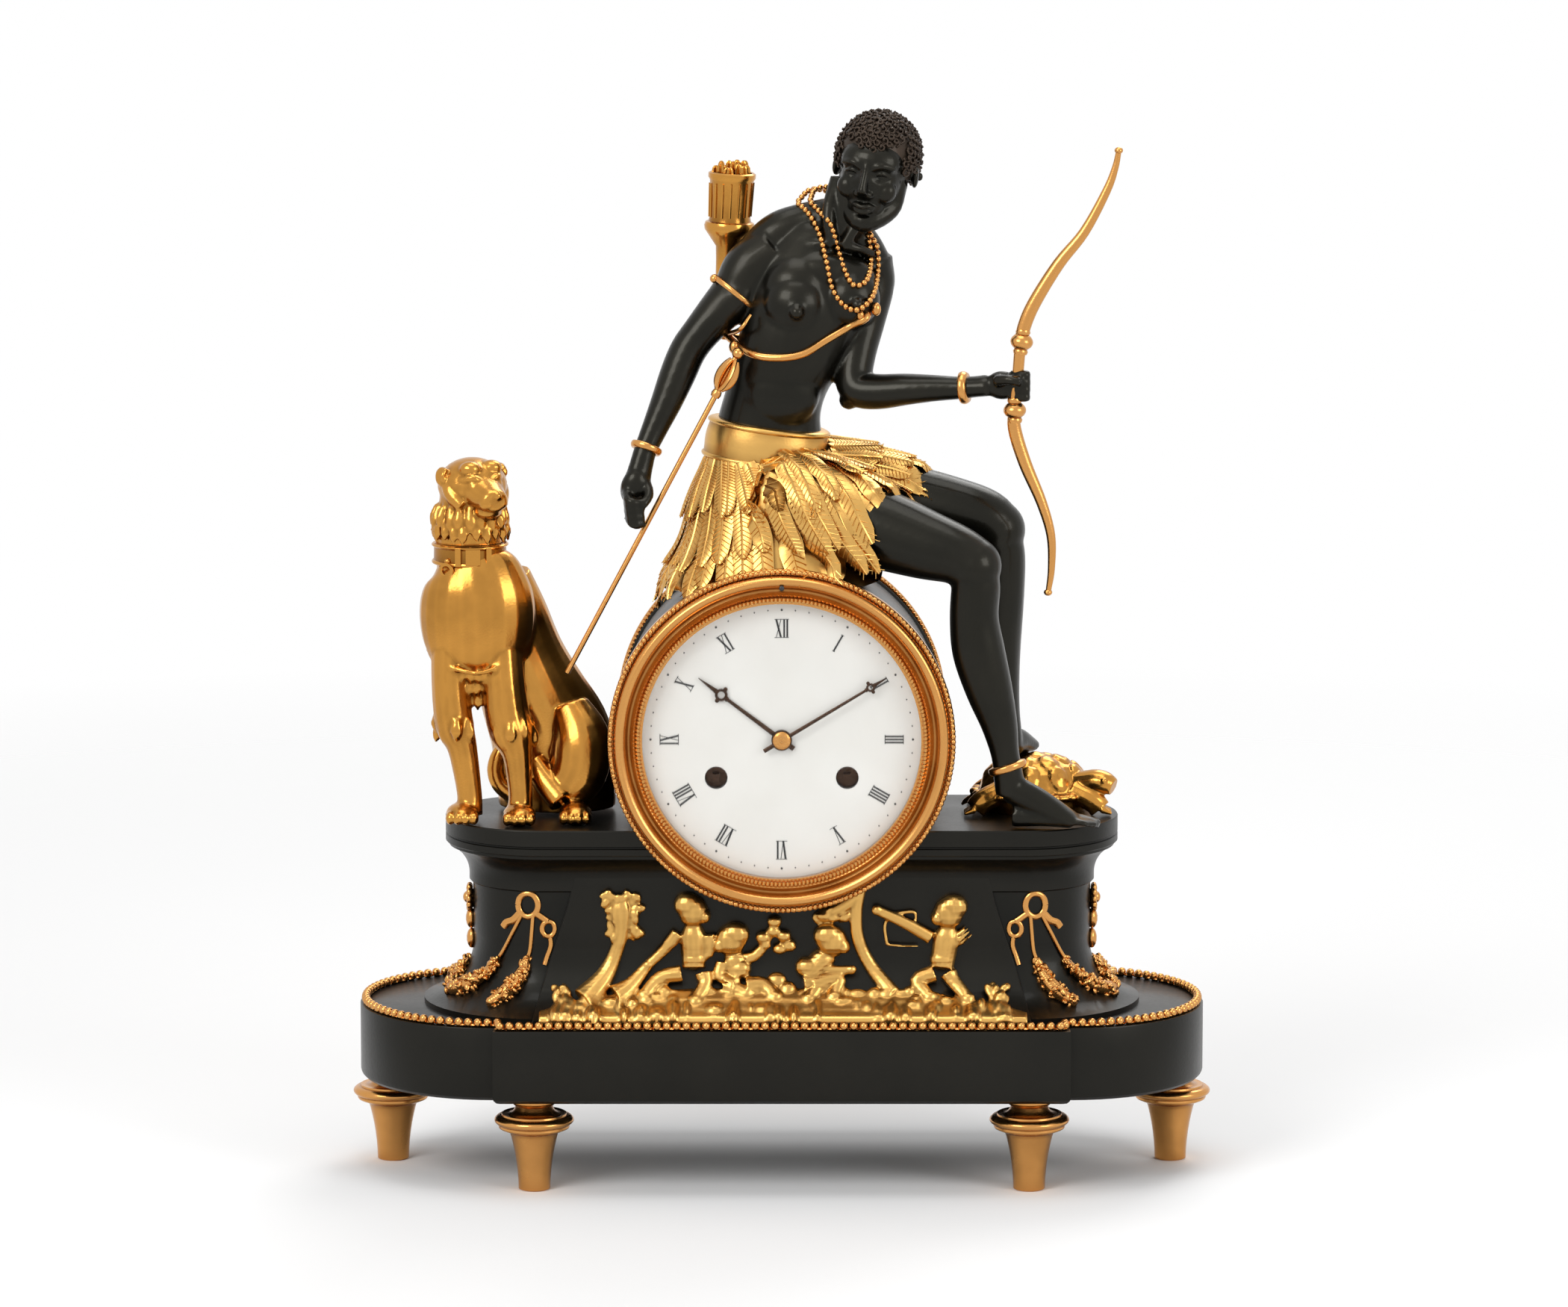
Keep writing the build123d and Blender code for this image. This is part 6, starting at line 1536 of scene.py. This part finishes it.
limb(clay, [(*on_rim(turn, 1.2, 167.8), 2, 1.5) for turn in range(0, 361, 15)], sides=8, per_span=2,
     up=(0, 0, 1))
for turn in range(0, 360, 18):
    ball(clay, on_rim(turn, 1.6, 168), (2.9, 2.9, 1.8), sides=8)
limb(clay, [(126, 3, 171, 7.2, 6.4), (134, -1, 173, 6, 5.6), (139, -3, 174, 6.2, 5.6),
            (143, -4.5, 173.6, 6, 5.2), (146.8, -6, 172.2, 4.2, 3.8)], sides=16, up=(0, 0, 1))
for side in (-1, 1):
    ball(clay, (142.4, -4.2 + side * 5.2, 175.4), (1.6, 1.4, 1.5), sides=8)
limb(clay, [(138.5, -3, 178.4, 2.6, 1.2), (143, -4.4, 178, 2.4, 1.1)], sides=8, up=(0, 0, 1))
for x, y, reach, across in ((137.5, -6.5, 1, -0.35), (131, 22, 1, 0.4), (89, -7.5, -1, -0.4),
                            (91, 22, -1, 0.4)):
    limb(clay, [(x - reach * 9, y - across * 9, 170, 5.5, 5), (x, y, 166, 5.2, 4.6),
                (x + reach * 3.4, y + across * 2, 162.4, 5, 3)], sides=12)
    for claw in (-1, 0, 1):
        limb(clay, [(x + reach * 4, y + claw * 3, 162.6, 1.8, 1.9),
                    (x + reach * 8.4, y + claw * 3.6 + across, 161, 0.8, 0.9)], sides=8)
limb(clay, [(87, 7, 166, 2.2, 2.2), (82, 8, 163.5, 1.4, 1.4), (80, 9, 161.4, 0.6, 0.6)], sides=8)
piece("tortoise_casting", cast(clay, 0.55, 2), bright_gilt,
      stands_for=["tortoise"], crease=60)

# %% [markdown]
# ## The frieze and garlands
# The children at play are modelled flat, on squared paper, and then bent over the curved
# front of the base. The garlands hang from ribbon bows on the round ends and meet at a
# rosette in the middle of each end.

# %% Frieze
relief = bmesh.new()
square_wide, square_tall, middle_square, paper_top = 1.4, 1.44, 99.1, 146.4


def on_paper(across, down, out):
    """A place on the squared paper: squares across from the left and down from the top."""
    return square_wide * (across - middle_square), -out, paper_top - square_tall * down


def stroke_relief(places, sides=10, depth=0.75, out=1.4):
    """A relief form through places of squares across, squares down and half width in mm."""
    rows = [(*on_paper(across, down, out), half, max(0.9, half * depth))
            for across, down, half in places]
    limb(relief, rows, sides=sides, per_span=4)


def boss(across, down, radii, out=1.8):
    """A round form on the relief, pressed a little out of the paper."""
    ball(relief, on_paper(across, down, out), radii, sides=12)


def child(head, hips, arms, legs, face_way, girth=4.3):
    """A chubby child from the places of the head, the hips and the joints of the limbs."""
    across, down = head
    boss(across, down, (6.8, 4.8, 7.2), 2.6)
    boss(across - face_way * 1.6, down - 2, (6.4, 4.6, 5.6), 2.8)
    boss(across + face_way * 3.6, down + 1.4, (3, 4, 3.4), 3)
    neck = (across, down + 4)
    chest = (head[0] * 0.62 + hips[0] * 0.38, head[1] * 0.62 + hips[1] * 0.38 + 1.6)
    stroke_relief([(*neck, 3.4), (*chest, girth * 1.35), (*hips, girth * 1.2)], sides=14, out=2.0)
    boss(hips[0], hips[1] - 3, (girth * 1.3, 4, girth * 1.2), 2.6)
    for arm in arms:
        stroke_relief([(*spot, 3.1 - 0.4 * number) for number, spot in enumerate(arm)], out=3.0)
        boss(*arm[-1], (2.5, 2, 2.4), 3.2)
    for leg in legs:
        stroke_relief([(*spot, 4.2 - 0.8 * number) for number, spot in enumerate(leg)], out=2.8)
        boss(*leg[-1], (3.4, 2.2, 2), 2.8)


ground = [(23, 47.6, 1.6), (30, 46.6, 2.4), (40, 45.6, 3.6), (55, 44.8, 4.8), (75, 44.4, 5.4),
          (99, 44.4, 5.4), (120, 44.6, 5.2), (142, 45, 4.6), (158, 45.8, 3.4), (168, 46.8, 2.4),
          (176, 47.8, 1.5)]
pebble_count = 120
stroke_relief(ground, depth=0.5, out=0.8)
stroke_relief([(23, 48.4, 1), (60, 48.4, 1.1), (99, 48.4, 1.1), (140, 48.4, 1.1), (176, 48.6, 1)],
              out=1.0)
for number in range(pebble_count):
    across = dice.uniform(28, 172)
    down = 47.6 - dice.uniform(0, 7) * (1 - ((across - 99) / 78)**2)
    radii = [dice.uniform(least, most) for least, most in ((2, 4.6), (1.4, 2.8), (1.2, 2.6))]
    boss(across, down, radii, dice.uniform(1, 2.2))
child((71.2, 16.8), (71.5, 35), [[(66.5, 23.5), (62, 29), (57, 34)],
                                 [(76, 24), (76, 30), (70, 32)]],
      [[(67.5, 36.5), (61, 38), (56, 43)], [(74.5, 36.5), (75, 40), (72, 44.5)]], 1)
child((83, 26), (86, 38), [[(88, 32), (91, 30.5), (94, 27)],
                           [(80.5, 33), (79.5, 37.5), (84.5, 39)]],
      [[(84, 40.5), (80.5, 39.5), (88, 42.5)], [(88, 40.5), (93, 40), (97, 43.5)]], -1, girth=4.0)
child((115, 26.4), (107, 37.5), [[(110, 32.5), (114, 35.5), (121, 35.5)],
                                 [(108.5, 33), (108.5, 37.5), (114, 39)]],
      [[(106, 39.5), (111.5, 39), (107.5, 44)], [(109, 40), (117, 38), (115.5, 43.5)]], 1,
      girth=4.2)
child((151.5, 17.4), (149.5, 35), [[(146, 25), (138, 20.5), (129, 16.4)],
                                   [(154.5, 25.5), (158.2, 22.6), (151, 28.5)]],
      [[(147, 36.5), (141.5, 39), (145.5, 43.5)], [(151.5, 36.5), (153, 39), (157.5, 44)]], -1)
stroke_relief([(133, 18, 0.8), (131.5, 21.5, 0.8), (132.2, 27, 0.8)], out=2.4)
stroke_relief([(132.2, 27, 0.55), (137, 27.4, 0.55), (142, 27.4, 0.55)], out=2.4)
stroke_relief([(128.5, 16, 1.1), (133.5, 17.6, 1), (140.5, 17, 0.8), (141.2, 20, 0.7)], out=2.2)
stroke_relief([(94, 27.5, 1.3), (96, 23, 1.6), (96.6, 20, 1)], out=3.0)
for across, down in ((93.2, 25), (99.8, 24.5), (96.5, 23), (98.5, 28.5), (101.5, 27.5), (96.8, 20)):
    boss(across, down, (3.4, 2.8, 2.8), 2.8)
for across, down, size in ((93, 40, 4.2), (97.5, 38.5, 4.6), (101, 41, 4), (139, 42, 3),
                           (62, 42, 3.8), (50, 43, 3.6), (128, 42.5, 3.4)):
    boss(across, down, (size, 2.6, size * 0.8), 1.6)
stroke_relief([(37, 44.5, 6), (43, 38, 4.6), (46.5, 31, 3.4), (48.5, 24, 3.6), (48.5, 17, 5.2),
               (48.5, 12.5, 3)], out=1.6)
stroke_relief([(47, 43.5, 5), (52, 40, 3.6), (57, 34, 2.6), (62.5, 28.5, 2.2), (66, 24, 2.2)],
              out=2.6)
stroke_relief([(124.2, 6, 3.4), (122.6, 16, 3), (123, 25, 3), (127, 34, 3.2), (134, 42.5, 3.6)],
              out=1.8)
stroke_relief([(123, 12, 3.4), (117, 16, 3.4), (111.5, 18, 2.4)], out=1.8)
leaf_fields = [((43.5, 55), (11.5, 20.5), 46), ((44.5, 54.5), (20, 25.5), 26),
               ((110, 120), (15.5, 20.5), 26), ((27.5, 33), (41, 45.5), 12),
               ((163.5, 169.5), (40.5, 46), 14)]
for (left, right), (top, bottom), count in leaf_fields:
    for number in range(count):
        spot = on_paper(dice.uniform(left, right), dice.uniform(top, bottom), dice.uniform(1, 3.2))
        ball(relief, spot, (2.9, 1.4, 1.9),
             turn=(dice.uniform(-30, 30), dice.uniform(0, 180), dice.uniform(-25, 25)), sides=8)
bent = form_of(cast(relief, 0.56, 1))
for vert in bent.verts:
    slope = flare_radius(vert.co.z + 0.5) - flare_radius(vert.co.z - 0.5)
    out = Vector((0, -1, -slope)).normalized()
    ground_place = Vector((vert.co.x, -(flare_radius(vert.co.z) + 1.9), vert.co.z))
    vert.co = ground_place + out * max(-vert.co.y, -0.8)
piece("frieze_relief", bent, matte_gilt, stands_for=["frieze"], crease=60)

# %% Garlands


def on_end(turn, height, lift, side, front):
    """A place on a round end: the turn is 0 at the front and 90 at the very end, in degrees."""
    reach = flare_radius(height) + lift
    return Vector((side * (centre_x + reach * sin(radians(turn))),
                   -front * reach * cos(radians(turn)), height))


def ribbon(form, places, side, front, half):
    """A flat ribbon along a line of (turn, height) places."""
    rows = [on_end(turn, height, 0.9, side, front) for turn, height in places]
    ups = [Vector((row.x - side * centre_x, row.y, 0)).normalized() for row in rows]
    strand(form, [(*row, half, 0.7) for row in rows], ups, sides=8, per_span=4)


def leafy(form, places, side, front):
    """A swag of leaves and berries along a line of (turn, height, half width) places."""
    for turn, height, wide in smooth_line(places, 8):
        middle = on_end(turn, height, wide * 0.55, side, front)
        ball(form, middle, wide * 0.72, sides=8)
        for number in range(4):
            off = Vector([dice.uniform(-1, 1) for axis in range(3)]).normalized() * wide * 0.72
            ball(form, middle + off, (2.2, 1, 1.5) if number else 1.2,
                 turn=[dice.uniform(0, 180) for axis in range(3)], sides=6)


def ring_of(turn, height, across, tall, begin, step):
    """Places round a loop of ribbon, from its middle, its half sizes and where it begins."""
    angles = [radians(angle) for angle in range(begin, begin + 361, step)]
    return [(turn + across * cos(angle), height + tall * sin(angle)) for angle in angles]


ribbons = [(ring_of(12, 124, 8, 5.2, 0, 30), 1.3),
           ([(18, 120.5), (24, 117), (30, 115.5), (33, 113.5)], 1.6),
           ([(6, 120.5), (1, 118.5), (-3, 116.9)], 1.4),
           (ring_of(-4, 113.5, 5, 3.4, 90, 40), 1.1),
           ([(-5, 110.5), (-6, 106), (-3, 101), (-1, 97.5)], 1.1),
           ([(17, 119.5), (24, 112), (32, 104), (38, 98.5)], 0.9),
           ([(8, 119.5), (9, 112), (10.5, 104), (13, 99.5)], 0.9)]
leaf_swags = [[(38, 98.5, 1.8), (46, 92, 3.4), (57, 86, 4.4), (70, 83.5, 4.4), (80, 86, 3.4),
               (87, 93, 2)], [(13, 99.5, 2), (17, 93, 4), (23, 87, 5), (31, 82, 3.4)]]
swags = bmesh.new()
end_turn = 90
for side in (-1, 1):
    for front in (-1, 1):
        for places, half in ribbons:
            ribbon(swags, places, side, front, half)
        for places in leaf_swags:
            leafy(swags, places, side, front)
    for height in (121, 112, 103):
        ball(swags, on_end(end_turn, height, 1, side, 1), (2.4, 3.6, 4.6), sides=12)
    rosette = on_end(end_turn, 121.5, 1.6, side, 1)
    for number in range(10):
        petal = 2 * pi * number / 10
        ball(swags, rosette + Vector((0, 4.6 * cos(petal), 4.6 * sin(petal))), (1.5, 2.1, 2.1),
             sides=10)
    ball(swags, rosette + Vector((side, 0, 0)), (2, 2.6, 2.6), sides=12)
piece("garland_swags", swags, copper_gilt, stands_for=["garlands"], crease=60)

# %% [markdown]
# ## Hinges and movement
# The bezel hinges at the left of the drum and the rear door at its other side, each on
# three knuckles and a pin. The movement keeps its construction shapes and gets brushed
# brass, steel and bell metal.

# %% Hinges and movement
knuckle = [(0.7, 0.1), (1.5, 0.1), (1.7, 0.4), (1.7, 4.6), (1.5, 4.9), (0.7, 4.9), (0.7, 0.1)]
for hinge, x, y, leaf_body in (("bezel", -73, -42.7, "bezel"), ("door", 73, 42.7, "rear_door")):
    for part, heights, rider in (("outer", (192.5, 202.5), "case"), ("inner", (197.5,), leaf_body)):
        knuckles = bmesh.new()
        for height in heights:
            turned(knuckles, knuckle, (x, y, height), (0, 0, 1), steps=24)
        piece(f"{hinge}_hinge_{part}", knuckles, copper_gilt, body=rider)

bezel_beads = bmesh.new()
bead_circle(bezel_beads, 75, -48.6, 1.2, 2.35)
piece("bezel_beads", bezel_beads, copper_gilt, body="bezel", crease=60)
door_knob = bmesh.new()
knob_profile = [(0, 46), (1.6, 46), (1.5, 48.4), (3, 49.6), (3.2, 50.8), (2.4, 52.2), (0, 52.7)]
turned(door_knob, knob_profile, (-69, 0, dial_z), (0, 1, 0), steps=32)
piece("rear_door_knob", door_knob, copper_gilt, body="rear_door", crease=30)
# A black dot on the bezel is painted shade for the catch hole.
catch = bmesh.new()
ball(catch, (0, -51.4, dial_z + 68.3), (1.2, 0.7, 1.2), sides=16)
piece("bezel_catch_hole_shade", catch, ink_and_hole_shade.material, body="bezel")
dark_works = brushed("dulled_brass", (0.030, 0.024, 0.014, 1), (0.070, 0.055, 0.030, 1), 0.45)
wheels = ["back_plate", "centre_wheel", "count_wheel", "escape_wheel", "front_plate",
          "going_barrel", "hour_wheel", "minute_wheel", "movement_straps", "pin_wheel",
          "plate_pillars", "second_wheel", "strike_barrel", "third_wheel"]
arbors = ["anchor", "bell_stand", "clicks", "crutch", "hammer", "hinge_pins", "suspension_cock",
          "tie_rod"]
finishes = {clock_brass: wheels + ["pendulum"], steel: arbors, bell_metal: ["bell"],
            dark_works: ["dial_mount"], blued: ["going_winding_arbor", "strike_winding_arbor"]}
for finish, names in finishes.items():
    for name in names:
        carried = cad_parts[name].data
        carried.materials.clear()
        carried.materials.append(finish)
print("movement pieces finished:", sum(len(names) for names in finishes.values()))
